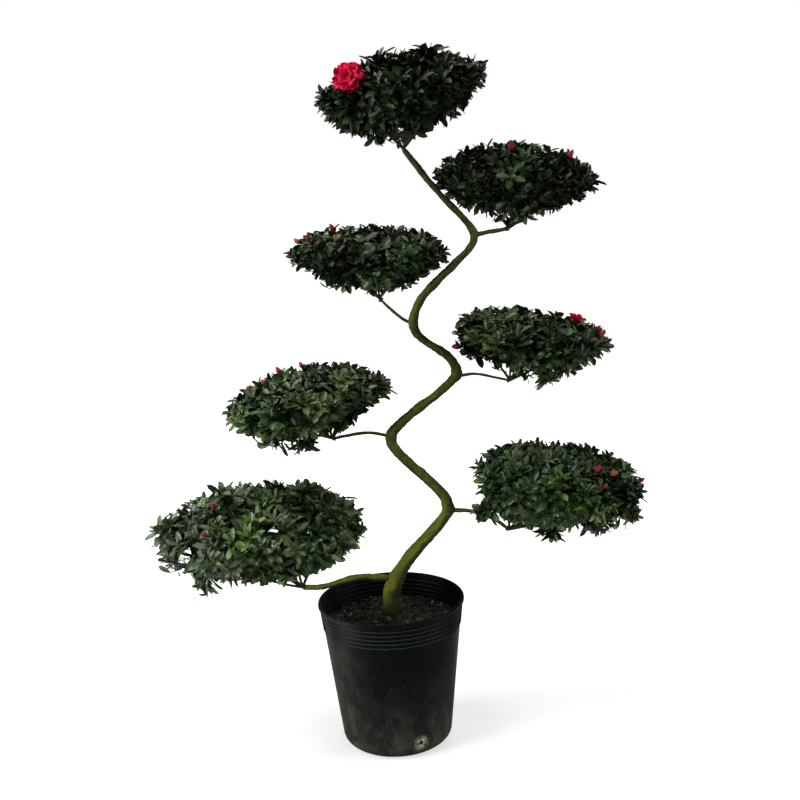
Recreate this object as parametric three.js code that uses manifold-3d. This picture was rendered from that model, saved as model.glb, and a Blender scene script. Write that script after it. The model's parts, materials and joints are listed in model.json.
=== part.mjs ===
// An azalea trained as a cloud tree: a zigzag trunk that carries seven pads of foliage,
// grown in a black nursery pot. Millimetres, +Z up, with the origin at the centre of the
// pot's underside. +X is to the right and -Y to the front.
import * as THREE from "three";
import { mergeVertices } from "three/addons/utils/BufferGeometryUtils.js";
import Module from "manifold-3d";

const wasm = await Module();
wasm.setup();

// ---------------------------------------------------------------- driving dimensions

const GAP = 0.3; // between pieces that touch

const POT = {
  height: 306,
  rimRadius: 150,
  lipHeight: 9,
  lipDepth: 4.5,
  topRadius: 145.5, // of the wall, under the lip
  baseRadius: 114, // of the wall, where the corner starts
  cornerRadius: 24,
  cornerSteps: 3,
  wall: 2,
  ribs: 5,
  ribPitch: 9,
  ribDepth: 1.6,
  firstRibDrop: 16, // from the rim's top
  drainHoles: 5,
  drainRadius: 4.6,
  drainHeight: 33,
  firstDrainAngle: -66, // degrees round from +X
  sides: 26,
};

const SOIL = { top: 258, edgeDrop: 2, mound: 12, moundRadius: 70, moundFlat: 34 };

// The trunk's line, from the soil to the fork under the top pad, as x, y, z. Where it turns
// from right to left or back it is a bend.
const TRUNK_LINE = [
  [3, 15, SOIL.top + SOIL.mound + GAP],
  [5, 12, 320],
  [39, 6, 383],
  [124, -8, 499],
  [19, 8, 643],
  [154, 14, 770],
  [74, -6, 873],
  [110, -4, 938],
  [199, 8, 1033],
  [132, 5, 1122],
  [75, 0, 1199],
];
// How far a bend's shoulders are from it, and how far they are pushed outwards.
const BEND = { shoulder: 40, outBelow: 12, outAbove: 8 };
const TRUNK = {
  rings: 48,
  sides: 8,
  stemRadius: 11.8, // at the soil, without the flare
  tipRadius: 5.8,
  flare: 9.5, // added to the radius at the soil
  flareHeight: 95,
};

// Each bough leaves the trunk at a height, lifts (or drops) by middle and late from the
// straight line at those places, and ends at the foot of its pad.
const BOUGH = { rings: 7, sides: 6, middle: 0.4, late: 0.8 };
const BOUGHS = [
  { name: "bough_1_low_left", leaves: 341, lift: [11, -2], foot: [-171, -20, 345], root: 8.4, tip: 5.4 },
  { name: "bough_2_low_right", leaves: 488, lift: [13, 10], foot: [243, 0, 442], root: 4.8, tip: 3.4 },
  { name: "bough_3_mid_left", leaves: 643, lift: [9, 4], foot: [-92, -8, 650], root: 3.8, tip: 3.1 },
  { name: "bough_4_mid_right", leaves: 757, lift: [8, 3], foot: [252, -10, 750], root: 3.2, tip: 2.6 },
  { name: "bough_5_upper_left", leaves: 868, lift: [-5, -3], foot: [15, 4, 917], root: 3.4, tip: 2.8 },
  { name: "bough_6_upper_right", leaves: 1034, lift: [1, 0], foot: [262, 12, 1043], root: 5, tip: 4 },
];

// Each pad fills a rounded space: its centre, how far it reaches along x and y, its rise and
// drop from the centre, its lean to the left in degrees, and how boxy it is above and under
// its centre (2 is an ellipsoid, 1 is a cone). strays are shoots that stand out of it, as
// shares of its reach along x, y and z. blooms are as strays, with their kind and diameter.
const PADS = [
  {
    name: "pad_1_low_left", centre: [-246, -35, 465], reach: [211, 180], rise: 103, drop: 104,
    lean: 0, boxy: 1.8, under: 1.35, seed: 11, shoots: 25,
    strays: [
      [-0.7, -0.3, -0.84], [-0.93, -0.3, -0.35], [-1.0, -0.3, 0.45], [0.5, -0.3, 1.1], [-0.37, -0.3, 1.15],
      [0.85, -0.3, 0.8],
    ],
    blooms: [[-0.41, -0.38, 0.82, "bud", 15], [-0.45, -0.76, 0.48, "bud", 13]],
  },
  {
    name: "pad_2_low_right", centre: [347, 5, 527], reach: [168, 145], rise: 77, drop: 105,
    lean: -8, boxy: 2.6, under: 1.6, seed: 23, shoots: 20,
    strays: [
      [-0.07, -0.3, -1.0], [-0.99, -0.3, -0.62], [0.66, -0.3, -0.76], [1.0, -0.3, -0.4], [1.04, -0.3, 0.2],
    ],
    blooms: [
      [0.36, -0.68, 0.8, "bud", 17], [0.55, -0.66, 0.72, "bud", 16], [0.97, -0.23, 0.37, "bud", 15],
      [0.43, -0.88, 0.47, "bud", 11],
    ],
  },
  {
    name: "pad_3_mid_left", centre: [-143, -15, 725], reach: [166, 147], rise: 77, drop: 93,
    lean: 8, boxy: 1.75, under: 1.15, seed: 37, shoots: 20,
    strays: [[-0.58, -0.3, -0.7], [-0.18, -0.3, -0.92], [1.0, -0.3, 0.3]],
    blooms: [
      [-0.6, -0.24, 0.71, "bud", 14], [-0.29, 0.2, 0.92, "bud", 14], [0.04, 0, 1.02, "bud", 13],
      [-0.44, -0.23, 0.82, "bud", 12],
    ],
  },
  {
    name: "pad_4_mid_right", centre: [302, -15, 827], reach: [154, 137], rise: 60, drop: 89,
    lean: -10, boxy: 2.5, under: 1.15, seed: 41, shoots: 20,
    strays: [[0.34, -0.3, -0.9], [0.62, -0.3, -0.56], [-0.86, -0.3, -0.41], [-0.98, -0.3, 0.48]],
    blooms: [
      [0.59, -0.14, 0.93, "half", 26], [0.8, -0.5, 0.57, "bud", 16], [-0.98, -0.2, -0.31, "bud", 16],
      [0.77, -0.33, 0.73, "bud", 12],
    ],
  },
  {
    name: "pad_5_upper_left", centre: [-3, 12, 1002], reach: [152, 137], rise: 62, drop: 77,
    lean: -3, boxy: 2.4, under: 1.3, seed: 53, shoots: 20,
    strays: [[0.54, -0.3, -0.7], [-0.53, -0.3, -0.68], [-1.06, -0.3, 0.16]],
    blooms: [
      [-0.5, -0.19, 0.94, "bud", 14], [-0.93, -0.22, 0.5, "bud", 14], [-0.79, -0.44, 0.63, "bud", 12],
      [-0.42, -0.75, 0.69, "bud", 12],
    ],
  },
  {
    name: "pad_6_upper_right", centre: [283, 32, 1127], reach: [161, 143], rise: 83, drop: 82,
    lean: -4, boxy: 1.9, under: 1.2, seed: 67, shoots: 20,
    strays: [[0.15, -0.3, -0.88], [-0.7, -0.3, -0.5], [1.0, -0.3, 0.2]],
    blooms: [[-0.11, -0.53, 0.84, "bud", 19], [0.63, -0.41, 0.67, "bud", 17]],
  },
  {
    name: "pad_7_top", centre: [71, 0, 1301], reach: [156, 140], rise: 80, drop: 97,
    lean: 9, boxy: 2.15, under: 1.35, seed: 79, shoots: 20,
    strays: [
      [1.06, -0.3, 0.3], [-1.02, -0.3, 0.24], [-0.5, -0.3, -0.73], [0.14, -0.3, -0.9], [0.52, -0.3, 0.96],
      [-0.18, -0.3, 1.08],
    ],
    blooms: [[-0.74, -0.7, 0.76, "open", 66]],
  },
];
const PLAN = 2.2; // how boxy every pad is as seen from above

const SHOOT = {
  lowest: -0.5, // how far down the pad its shoots start, as a share of its drop
  inset: 24, // from the pad's outline to a shoot's end, where its leaves begin
  scatter: 8, // the most that it is farther in
  stem: 6, // from the tip of the limb to the first fork
  firstHalvings: 3, // that the first fork parts its shoots by; the others take one fewer
  forkAt: [0.38, 0.14], // a fork's place on the way to its tips: least, and a random extra
  radius: 1.6, // of a twig that feeds one shoot
  thicken: 0.28, // the power by which a twig thickens with the shoots that it feeds
  overlap: 2, // that a twig runs on into its neighbour
};
// The core's inset from the pad's outline, and the least of it that hides a twig.
const CORE = { inset: 11, detail: 1, cover: 1 };
const LEAF = { length: 54, width: 24, thick: 3.4, perShoot: 6, step: 3.4, rootSink: 1, open: [40, 24] };
const BLOOMS = {
  bud: { petals: 3, lobe: 0, high: 1.5, rows: 4 },
  half: { petals: 5, lobe: 0.12, high: 1.1, rows: 4 },
  open: { petals: 7, lobe: 0.1, high: 0.6, rows: 5, facing: [-0.2, -0.88, 0.42] },
};
const LEAF_LIMIT = 1.1; // how far out a leaf's tip may reach, where a pad's outline is 1
const STRAY_LIMIT = 1.4;
const CLEAR = { leaf: 5, twig: 3 }; // that they keep from the trunk and the boughs

const COLOURS = {
  bark: 0x5b5a36,
  foliage: 0x24391f,
  plastic: 0x17181a,
  soil: 0x2e2822,
};

// ------------------------------------------------------------------- seeded numbers

const GOLDEN_ANGLE = Math.PI * (3 - Math.sqrt(5));

// A generator of numbers from 0 to 1 that any language can repeat exactly.
function dice(seed) {
  let state = seed * 7919;
  return () => {
    state = (state * 1664525 + 1013904223) % 4294967296;
    return state / 4294967296;
  };
}

// ---------------------------------------------------------------- solids and meshes

// A three.js geometry as a manifold solid.
function solid(geometry) {
  const bare = new THREE.BufferGeometry();
  bare.setAttribute("position", geometry.getAttribute("position"));
  if (geometry.index) bare.setIndex(geometry.index);
  const merged = mergeVertices(bare, 1e-4);
  return new wasm.Manifold(
    new wasm.Mesh({
      numProp: 3,
      vertProperties: merged.getAttribute("position").array,
      triVerts: new Uint32Array(merged.index.array),
    }),
  );
}

// The largest body of a solid, without scraps or sealed hollows.
function largestBody(whole) {
  const bodies = whole.decompose().sort((a, b) => b.volume() - a.volume());
  return bodies[0];
}

function meshOf(name, body, colour, roughness) {
  const made = body.getMesh();
  const geometry = new THREE.BufferGeometry();
  geometry.setAttribute("position", new THREE.BufferAttribute(new Float32Array(made.vertProperties), 3));
  geometry.setIndex(new THREE.BufferAttribute(new Uint32Array(made.triVerts), 1));
  const material = new THREE.MeshStandardMaterial({ color: colour, roughness, metalness: 0 });
  const mesh = new THREE.Mesh(geometry, material);
  mesh.name = name;
  return mesh;
}

const point = (xyz) => new THREE.Vector3(...xyz);

function splineThrough(points) {
  return new THREE.CatmullRomCurve3(points, false, "catmullrom", 0.5);
}

// A cylinder bent along a curve, with its radius given along the way.
function limb(curve, radiusAt, rings, sides) {
  const frames = curve.computeFrenetFrames(rings, false);
  const geometry = new THREE.CylinderGeometry(1, 1, 1, sides, rings);
  const places = geometry.getAttribute("position");
  for (let i = 0; i < places.count; i++) {
    const along = 0.5 - places.getY(i);
    const ring = Math.round(along * rings);
    const radius = radiusAt(along);
    const spot = curve.getPointAt(along);
    spot.addScaledVector(frames.normals[ring], places.getX(i) * radius);
    spot.addScaledVector(frames.binormals[ring], places.getZ(i) * radius);
    places.setXYZ(i, spot.x, spot.y, spot.z);
  }
  return solid(geometry);
}

// ------------------------------------------------------------------ trunk and boughs

// The points of the trunk's line, where each bend has a shoulder below and above it.
function trunkPoints() {
  const line = TRUNK_LINE.map(point);
  return line.flatMap((bend, i) => {
    const [below, above] = [line[i - 1], line[i + 1]];
    const turns = below && above && (bend.x - below.x) * (above.x - bend.x) < 0;
    if (!turns) return [bend];
    const side = Math.sign(bend.x - below.x);
    const shoulder = (next, out) => {
      const spot = bend.clone().addScaledVector(next.clone().sub(bend).normalize(), BEND.shoulder);
      return spot.setX(spot.x + side * out);
    };
    return [shoulder(below, BEND.outBelow), bend, shoulder(above, BEND.outAbove)];
  });
}

const trunkCurve = splineThrough(trunkPoints());

function trunkRadius(along) {
  const height = along * trunkCurve.getLength();
  const stem = TRUNK.stemRadius + (TRUNK.tipRadius - TRUNK.stemRadius) * along;
  return stem + TRUNK.flare * Math.exp(-height / TRUNK.flareHeight);
}

// The share of the trunk's length at which it first reaches a height.
function trunkShareAt(height) {
  const steps = 2000;
  for (let i = 0; i <= steps; i++) if (trunkCurve.getPointAt(i / steps).z >= height) return i / steps;
  return 1;
}

function makeTrunk() {
  const whole = limb(trunkCurve, trunkRadius, TRUNK.rings, TRUNK.sides);
  const ground = TRUNK_LINE[0][2];
  const side = 200;
  const below = new THREE.BoxGeometry(side, side, side).translate(0, 0, ground - side / 2);
  return whole.subtract(solid(below));
}

function boughCurve(bough) {
  const share = trunkShareAt(bough.leaves);
  const root = trunkCurve.getPointAt(share);
  const foot = point(bough.foot);
  const between = [BOUGH.middle, BOUGH.late].map((share, i) => {
    const spot = root.clone().lerp(foot, share);
    return spot.setZ(spot.z + bough.lift[i]);
  });
  return splineThrough([root, ...between, foot]);
}

// A bough starts inside the trunk, and the trunk with its gap is then cut out of it.
function makeBough(bough, trunkAndGap) {
  const curve = boughCurve(bough);
  const radiusAt = (along) => bough.root + (bough.tip - bough.root) * along ** 0.7;
  const whole = limb(curve, radiusAt, BOUGH.rings, BOUGH.sides);
  return largestBody(whole.subtract(trunkAndGap));
}

// ----------------------------------------------------------------------- foliage pads

// A place in a pad, given as shares of its reach, rise or drop.
function inPad(pad, u, v, w) {
  const place = new THREE.Vector3(u * pad.reach[0], v * pad.reach[1], w * (w > 0 ? pad.rise : pad.drop));
  place.applyAxisAngle(new THREE.Vector3(0, 1, 0), THREE.MathUtils.degToRad(-pad.lean));
  return place.add(point(pad.centre));
}

// The size of a step from a pad's centre, in its own shares: 1 on the pad's outline.
function boxSize(pad, [u, v, w]) {
  const power = w > 0 ? pad.boxy : pad.under;
  const plan = (Math.abs(u) ** PLAN + Math.abs(v) ** PLAN) ** (power / PLAN);
  return (plan + Math.abs(w) ** power) ** (1 / power);
}

// A place moved towards a pad's centre.
function drawnIn(pad, place, inset) {
  const inward = point(pad.centre).sub(place).normalize();
  return place.clone().addScaledVector(inward, inset);
}

// How far out a place is, from 0 at the pad's centre to 1 on its outline.
function outness(pad, place) {
  const p = place.clone().sub(point(pad.centre));
  p.applyAxisAngle(new THREE.Vector3(0, 1, 0), THREE.MathUtils.degToRad(pad.lean));
  return boxSize(pad, [p.x / pad.reach[0], p.y / pad.reach[1], p.z / (p.z > 0 ? pad.rise : pad.drop)]);
}

// The shoots of a pad, spread evenly over its outline in a golden spiral.
function shootsOf(pad, roll) {
  const shoots = [];
  for (let i = 0; i < pad.shoots; i++) {
    const w = 1 - ((i + 0.5) / pad.shoots) * (1 - SHOOT.lowest);
    const turn = i * GOLDEN_ANGLE + roll() * 0.5;
    const ring = Math.sqrt(1 - w * w);
    const step = [ring * Math.cos(turn), ring * Math.sin(turn), w];
    const tip = inPad(pad, ...step.map((share) => share / boxSize(pad, step)));
    shoots.push({ tip, inset: SHOOT.inset + roll() * SHOOT.scatter, leaves: LEAF.perShoot });
  }
  for (const stray of pad.strays)
    shoots.push({ tip: inPad(pad, ...stray), inset: SHOOT.inset, leaves: LEAF.perShoot - 1, stray: true });
  for (const [u, v, w, kind, size] of pad.blooms)
    shoots.push({ tip: inPad(pad, u, v, w), inset: size * 0.6, leaves: 2, bloom: { kind, size } });
  for (const shoot of shoots) shoot.end = drawnIn(pad, shoot.tip, shoot.inset);
  return shoots;
}

function middleOf(shoots) {
  const sum = new THREE.Vector3();
  for (const shoot of shoots) sum.add(shoot.end);
  return sum.divideScalar(shoots.length);
}

// Two groups of shoots, parted across the direction in which they spread the most.
function parted(shoots) {
  const middle = middleOf(shoots);
  const spread = ["x", "y", "z"].map((axis) => ({
    axis,
    size: shoots.reduce((sum, s) => sum + (s.end[axis] - middle[axis]) ** 2, 0),
  }));
  spread.sort((a, b) => b.size - a.size);
  const axis = spread[0].axis;
  const sorted = [...shoots].sort((a, b) => a.end[axis] - b.end[axis]);
  const half = Math.ceil(sorted.length / 2);
  return [sorted.slice(0, half), sorted.slice(half)];
}

// Shoots halved a number of times, as far as there are enough of them.
function groupsOf(shoots, halvings) {
  if (halvings === 0 || shoots.length < 3) return [shoots];
  return parted(shoots).flatMap((half) => groupsOf(half, halvings - 1));
}

// Twigs from a fork to its shoots, each of which forks again.
function fork(start, shoots, roll, twigs, halvings) {
  const groups = shoots.length === 2 ? parted(shoots) : groupsOf(shoots, halvings);
  for (const group of groups) {
    if (group.length === 1) {
      group[0].along = group[0].end.clone().sub(start).normalize();
      twigs.push({ start, end: group[0].end, feeds: 1 });
      continue;
    }
    const share = SHOOT.forkAt[0] + SHOOT.forkAt[1] * roll();
    const end = start.clone().lerp(middleOf(group), share);
    twigs.push({ start, end, feeds: group.length });
    fork(end, group, roll, twigs, SHOOT.firstHalvings - 1);
  }
}

// Turns a geometry that lies along +Y so that it lies along a direction, from a place.
function laid(geometry, from, direction) {
  const turn = new THREE.Quaternion().setFromUnitVectors(new THREE.Vector3(0, 1, 0), direction);
  return geometry.applyQuaternion(turn).translate(from.x, from.y, from.z);
}

function twigSolid(twig) {
  const line = twig.end.clone().sub(twig.start);
  const length = line.length() + SHOOT.overlap;
  const radius = SHOOT.radius * twig.feeds ** SHOOT.thicken;
  const thin = twig.feeds === 1 ? 0.7 : 0.85;
  const geometry = new THREE.CylinderGeometry(radius * thin, radius, length, 3).translate(0, length / 2, 0);
  return solid(laid(geometry, twig.start, line.normalize()));
}

// A keeled leaf, that starts below the origin and lies along +Y. It is a flat tetrahedron:
// one edge runs from root to tip, and the edge across it is the leaf's width.
function leafGeometry(size) {
  const [edge, between] = [Math.sqrt(8 / 3), Math.sqrt(4 / 3)];
  const geometry = new THREE.TetrahedronGeometry(1).rotateZ(Math.PI / 4);
  geometry.scale((size * LEAF.width) / edge, (size * LEAF.length) / edge, LEAF.thick / between);
  return geometry.translate(0, (size * LEAF.length) / 2 - LEAF.rootSink, 0);
}

// The leaves of a shoot stand round its twig in a spiral that ends at the twig's end.
function whorlOf(shoot, roll) {
  const leaves = [];
  const start = roll() * Math.PI * 2;
  for (let i = 0; i < shoot.leaves; i++) {
    const turn = start + i * GOLDEN_ANGLE;
    const open = THREE.MathUtils.degToRad(LEAF.open[0] + LEAF.open[1] * roll());
    const size = 0.85 + 0.3 * roll();
    const seat = shoot.end.clone().addScaledVector(shoot.along, -i * LEAF.step);
    leaves.push(laid(leafGeometry(size).rotateX(open).rotateY(turn), seat, shoot.along));
  }
  return leaves;
}

// A bloom is a round body whose rim is drawn out into petals: a bud has none, a half-open
// one stands up like a cup, and an open one lies flat and faces forwards.
function bloomSolid(shoot) {
  const { kind, size } = shoot.bloom;
  const { petals, lobe, high, rows, facing } = BLOOMS[kind];
  const geometry = new THREE.SphereGeometry(1, petals * 2, rows);
  const places = geometry.getAttribute("position");
  for (let i = 0; i < places.count; i++) {
    const turn = Math.atan2(places.getZ(i), places.getX(i));
    const reach = (size / 2) * (1 - lobe + lobe * Math.cos(turn * petals));
    places.setX(i, places.getX(i) * reach);
    places.setY(i, ((places.getY(i) + 0.9) * size * high) / 2);
    places.setZ(i, places.getZ(i) * reach);
  }
  return solid(laid(geometry, shoot.end, facing ? point(facing).normalize() : shoot.along));
}

// Whether a place keeps clear of the limbs that are given as places along them.
function clearOf(limbs, place, space) {
  return limbs.every((spot) => spot.place.distanceTo(place) > spot.radius + space);
}

// Whether a leaf keeps inside a limit of the pad's space and clear of the limbs, at its
// corners and along its edges.
function leafFits(pad, leaf, limbs, limit) {
  const places = leaf.getAttribute("position");
  for (let i = 0; i < places.count; i++) {
    const corner = new THREE.Vector3().fromBufferAttribute(places, i);
    const next = new THREE.Vector3().fromBufferAttribute(places, (i + 1) % places.count);
    if (outness(pad, corner) > limit) return false;
    for (const share of [0, 0.25, 0.5, 0.75]) {
      if (!clearOf(limbs, corner.clone().lerp(next, share), CLEAR.leaf)) return false;
    }
  }
  return true;
}

function twigFits(twig, limbs) {
  const steps = Math.ceil(twig.start.distanceTo(twig.end) / 4);
  for (let i = 0; i <= steps; i++) {
    if (!clearOf(limbs, twig.start.clone().lerp(twig.end, i / steps), CLEAR.twig)) return false;
  }
  return true;
}

// The dense inside of a pad.
function coreSolid(pad) {
  const geometry = new THREE.IcosahedronGeometry(1, CORE.detail);
  const places = geometry.getAttribute("position");
  for (let i = 0; i < places.count; i++) {
    const step = [places.getX(i), places.getY(i), places.getZ(i)];
    const spot = drawnIn(pad, inPad(pad, ...step.map((share) => share / boxSize(pad, step))), CORE.inset);
    places.setXYZ(i, spot.x, spot.y, spot.z);
  }
  return solid(geometry);
}

// Whether a place is hidden in a pad's core.
function inCore(pad, place) {
  const reach = place.distanceTo(point(pad.centre));
  return reach < reach / outness(pad, place) - CORE.inset - CORE.cover;
}

function makePad(pad, foot, along, limbs, trunkSpace) {
  const roll = dice(pad.seed);
  const start = foot.clone().addScaledVector(along, GAP);
  const stemEnd = start.clone().addScaledVector(along, SHOOT.stem);
  const shoots = shootsOf(pad, roll);
  const twigs = [{ start, end: stemEnd, feeds: shoots.length }];
  fork(stemEnd, shoots, roll, twigs, SHOOT.firstHalvings);
  let whole = coreSolid(pad).subtract(trunkSpace);
  for (const [i, twig] of twigs.entries()) {
    const hidden = inCore(pad, twig.start) && inCore(pad, twig.end);
    if (i === 0 || (!hidden && twigFits(twig, limbs.trunk))) whole = whole.add(twigSolid(twig));
  }
  for (const shoot of shoots) {
    for (const leaf of whorlOf(shoot, roll)) {
      const limit = shoot.stray ? STRAY_LIMIT : LEAF_LIMIT;
      if (leafFits(pad, leaf, limbs.all, limit)) whole = whole.add(solid(leaf));
    }
    if (shoot.bloom) whole = whole.add(bloomSolid(shoot));
  }
  return largestBody(whole);
}

// ------------------------------------------------------------------------ pot and soil

// The radius of the pot's outer wall at a height, between the corner and the lip.
function potRadius(z) {
  const low = POT.cornerRadius;
  const high = POT.height - POT.lipHeight;
  return POT.baseRadius + ((POT.topRadius - POT.baseRadius) * (z - low)) / (high - low);
}

// The rounded corner at the pot's foot, from its flat to its wall, drawn in by an inset.
function footCorner(inset) {
  const corner = POT.cornerRadius - inset;
  const points = [];
  for (let i = 0; i <= POT.cornerSteps; i++) {
    const turn = (Math.PI / 2) * (i / POT.cornerSteps);
    const radius = POT.baseRadius - inset - corner * (1 - Math.sin(turn));
    points.push([radius, inset + corner * (1 - Math.cos(turn))]);
  }
  return points;
}

function potProfile() {
  const lip = POT.height - POT.lipHeight;
  const profile = [[0, 0], ...footCorner(0)];
  for (let i = POT.ribs - 1; i >= 0; i--) {
    const z = POT.height - POT.firstRibDrop - i * POT.ribPitch;
    const foot = z - POT.ribPitch / 2;
    profile.push([potRadius(foot), foot], [potRadius(z) + POT.ribDepth, z]);
  }
  profile.push([POT.topRadius, lip], [POT.rimRadius - 0.6, lip + 1.5], [POT.rimRadius, POT.height - 3]);
  profile.push([POT.rimRadius - 1.5, POT.height], [POT.rimRadius - POT.lipDepth - 1.5, POT.height]);
  profile.push([potRadius(lip - 4) - POT.wall, lip - 4], ...footCorner(POT.wall).reverse(), [0, POT.wall]);
  return profile;
}

// A profile of radius and height turned round the Z axis.
function turned(profile) {
  const line = profile.map(([r, z]) => new THREE.Vector2(r, z));
  return new THREE.LatheGeometry(line, POT.sides).rotateX(Math.PI / 2);
}

function makePot() {
  let pot = solid(turned(potProfile()));
  for (let i = 0; i < POT.drainHoles; i++) {
    const turn = THREE.MathUtils.degToRad(POT.firstDrainAngle + (i * 360) / POT.drainHoles);
    const hole = new THREE.CylinderGeometry(POT.drainRadius, POT.drainRadius, POT.cornerRadius * 2, 8);
    hole.rotateZ(Math.PI / 2).translate(POT.baseRadius, 0, POT.drainHeight).rotateZ(turn);
    pot = pot.subtract(solid(hole));
  }
  return pot;
}

function makeSoil() {
  const inset = POT.wall + GAP;
  const profile = [[0, inset], ...footCorner(inset)];
  const edge = SOIL.top - SOIL.edgeDrop;
  profile.push([potRadius(edge) - inset, edge], [potRadius(edge) - inset - 9, SOIL.top]);
  const peak = SOIL.top + SOIL.mound;
  profile.push([SOIL.moundRadius, SOIL.top + 1], [SOIL.moundFlat, peak], [0, peak]);
  return solid(turned(profile));
}

// ---------------------------------------------------------------------------- assembly

// Places along a limb, up to a share of its length, with its radius there.
function spotsAlong(curve, radiusAt, count, share) {
  return Array.from({ length: count + 1 }, (_, i) => {
    const along = (share * i) / count;
    return { place: curve.getPointAt(along), radius: radiusAt(along) };
  });
}

const plant = new THREE.Group();
plant.name = "azalea_cloud_tree";
plant.add(meshOf("pot", makePot(), COLOURS.plastic, 0.45));
plant.add(meshOf("soil", makeSoil(), COLOURS.soil, 0.95));
plant.add(meshOf("trunk", makeTrunk(), COLOURS.bark, 0.8));

const trunkWith = (extra) => limb(trunkCurve, (t) => trunkRadius(t) + extra, TRUNK.rings, TRUNK.sides);
const [trunkAndGap, trunkSpace] = [trunkWith(GAP), trunkWith(CLEAR.leaf)];
const boughCurves = BOUGHS.map((bough) => [boughCurve(bough), bough]);
for (const [, bough] of boughCurves) {
  plant.add(meshOf(bough.name, makeBough(bough, trunkAndGap), COLOURS.bark, 0.8));
}

const limbs = { trunk: spotsAlong(trunkCurve, trunkRadius, 240, 1) };
limbs.all = boughCurves.reduce(
  (spots, [curve, bough]) => spots.concat(spotsAlong(curve, () => bough.root, 24, 0.93)),
  limbs.trunk,
);
for (const [i, pad] of PADS.entries()) {
  const carrier = i < boughCurves.length ? boughCurves[i][0] : trunkCurve;
  const foot = carrier.getPointAt(1);
  const body = makePad(pad, foot, carrier.getTangentAt(1), limbs, trunkSpace);
  plant.add(meshOf(pad.name, body, COLOURS.foliage, 0.6));
}

export default plant;
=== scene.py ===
import json
import math

import bpy
import numpy as np
from bpy.props import FloatProperty, FloatVectorProperty, IntProperty, PointerProperty
from mathutils import Matrix, Vector, noise

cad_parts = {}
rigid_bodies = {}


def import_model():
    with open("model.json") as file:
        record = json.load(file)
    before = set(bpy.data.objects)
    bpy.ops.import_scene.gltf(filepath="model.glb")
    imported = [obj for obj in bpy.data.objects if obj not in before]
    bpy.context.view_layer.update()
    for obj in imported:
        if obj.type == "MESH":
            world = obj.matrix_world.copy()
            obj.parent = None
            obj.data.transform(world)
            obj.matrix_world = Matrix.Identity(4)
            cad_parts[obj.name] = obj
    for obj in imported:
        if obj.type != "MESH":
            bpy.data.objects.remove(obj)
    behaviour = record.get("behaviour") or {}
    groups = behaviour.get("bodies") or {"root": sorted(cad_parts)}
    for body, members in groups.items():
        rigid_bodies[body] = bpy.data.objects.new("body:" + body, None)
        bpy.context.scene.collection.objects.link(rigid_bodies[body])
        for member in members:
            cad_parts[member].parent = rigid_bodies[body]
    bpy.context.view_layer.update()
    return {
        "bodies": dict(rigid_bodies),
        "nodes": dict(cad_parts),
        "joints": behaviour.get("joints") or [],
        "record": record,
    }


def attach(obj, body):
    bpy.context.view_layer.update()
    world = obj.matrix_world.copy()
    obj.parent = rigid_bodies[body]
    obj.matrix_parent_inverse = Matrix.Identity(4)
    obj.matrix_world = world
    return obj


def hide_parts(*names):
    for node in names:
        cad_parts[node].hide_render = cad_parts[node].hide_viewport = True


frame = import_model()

bl_info = {
    "name": "Azalea cloud tree",
    "version": (1, 0, 0),
    "blender": (4, 5, 0),
    "location": "3D View > Sidebar > Azalea",
    "description": "Grows an azalea trained as a cloud tree in a black nursery pot",
    "category": "Object",
}

MM = 0.001
GOLDEN_ANGLE = math.pi * (3 - math.sqrt(5))
UP = np.array([0.0, 0.0, 1.0])

# ------------------------------------------------------- the plant's sizes, in millimetres

GAP = 0.3  # between one part and the next
POT = dict(height=306, rim=150, lip_height=9, lip_depth=4.5, top=145.5, base=114, corner=24,
           wall=2, ribs=5, rib_pitch=9, first_rib_drop=16, holes=5, hole_radius=4.6,
           hole_height=33, first_hole_angle=-66, sides=144, out_of_round=0.0022)
SOIL = dict(top=258, mound=12, mound_radius=70, mound_flat=34, edge=134, rings=74, sides=168)
# How far out the chips lie and how far off the trunk, their sizes, and the steps of the fibres.
CHIPS = dict(reach=133, off_trunk=25, least=1.7, more=5.6, lift=0.2, shapes=6)
FIBRES = dict(count=70, steps=7, step=3.2, lift=1.2)
TRUNK_LINE = [
    (3, 15, SOIL["top"] + SOIL["mound"] + GAP), (5, 12, 320), (39, 6, 383), (124, -8, 499),
    (19, 8, 643), (154, 14, 770), (74, -6, 873), (110, -4, 938), (199, 8, 1033),
    (132, 5, 1122), (75, 0, 1199),
]
BEND = dict(shoulder=40, out_below=12, out_above=8)
TRUNK = dict(stem=11.8, tip=5.8, flare=9.5, flare_height=95)
BOUGH = dict(middle=0.4, late=0.8)
BARK = dict(trunk_rings=420, trunk_sides=30, bough_rings=110, bough_sides=16)
BOUGHS = [
    dict(name="bough_1_low_left", leaves=341, lift=(11, -2), foot=(-171, -20, 345), root=8.4, tip=5.4),
    dict(name="bough_2_low_right", leaves=488, lift=(13, 10), foot=(243, 0, 442), root=4.8, tip=3.4),
    dict(name="bough_3_mid_left", leaves=643, lift=(9, 4), foot=(-92, -8, 650), root=3.8, tip=3.1),
    dict(name="bough_4_mid_right", leaves=757, lift=(8, 3), foot=(252, -10, 750), root=3.2, tip=2.6),
    dict(name="bough_5_upper_left", leaves=868, lift=(-5, -3), foot=(15, 4, 917), root=3.4, tip=2.8),
    dict(name="bough_6_upper_right", leaves=1034, lift=(1, 0), foot=(262, 12, 1043), root=5, tip=4),
]

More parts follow.
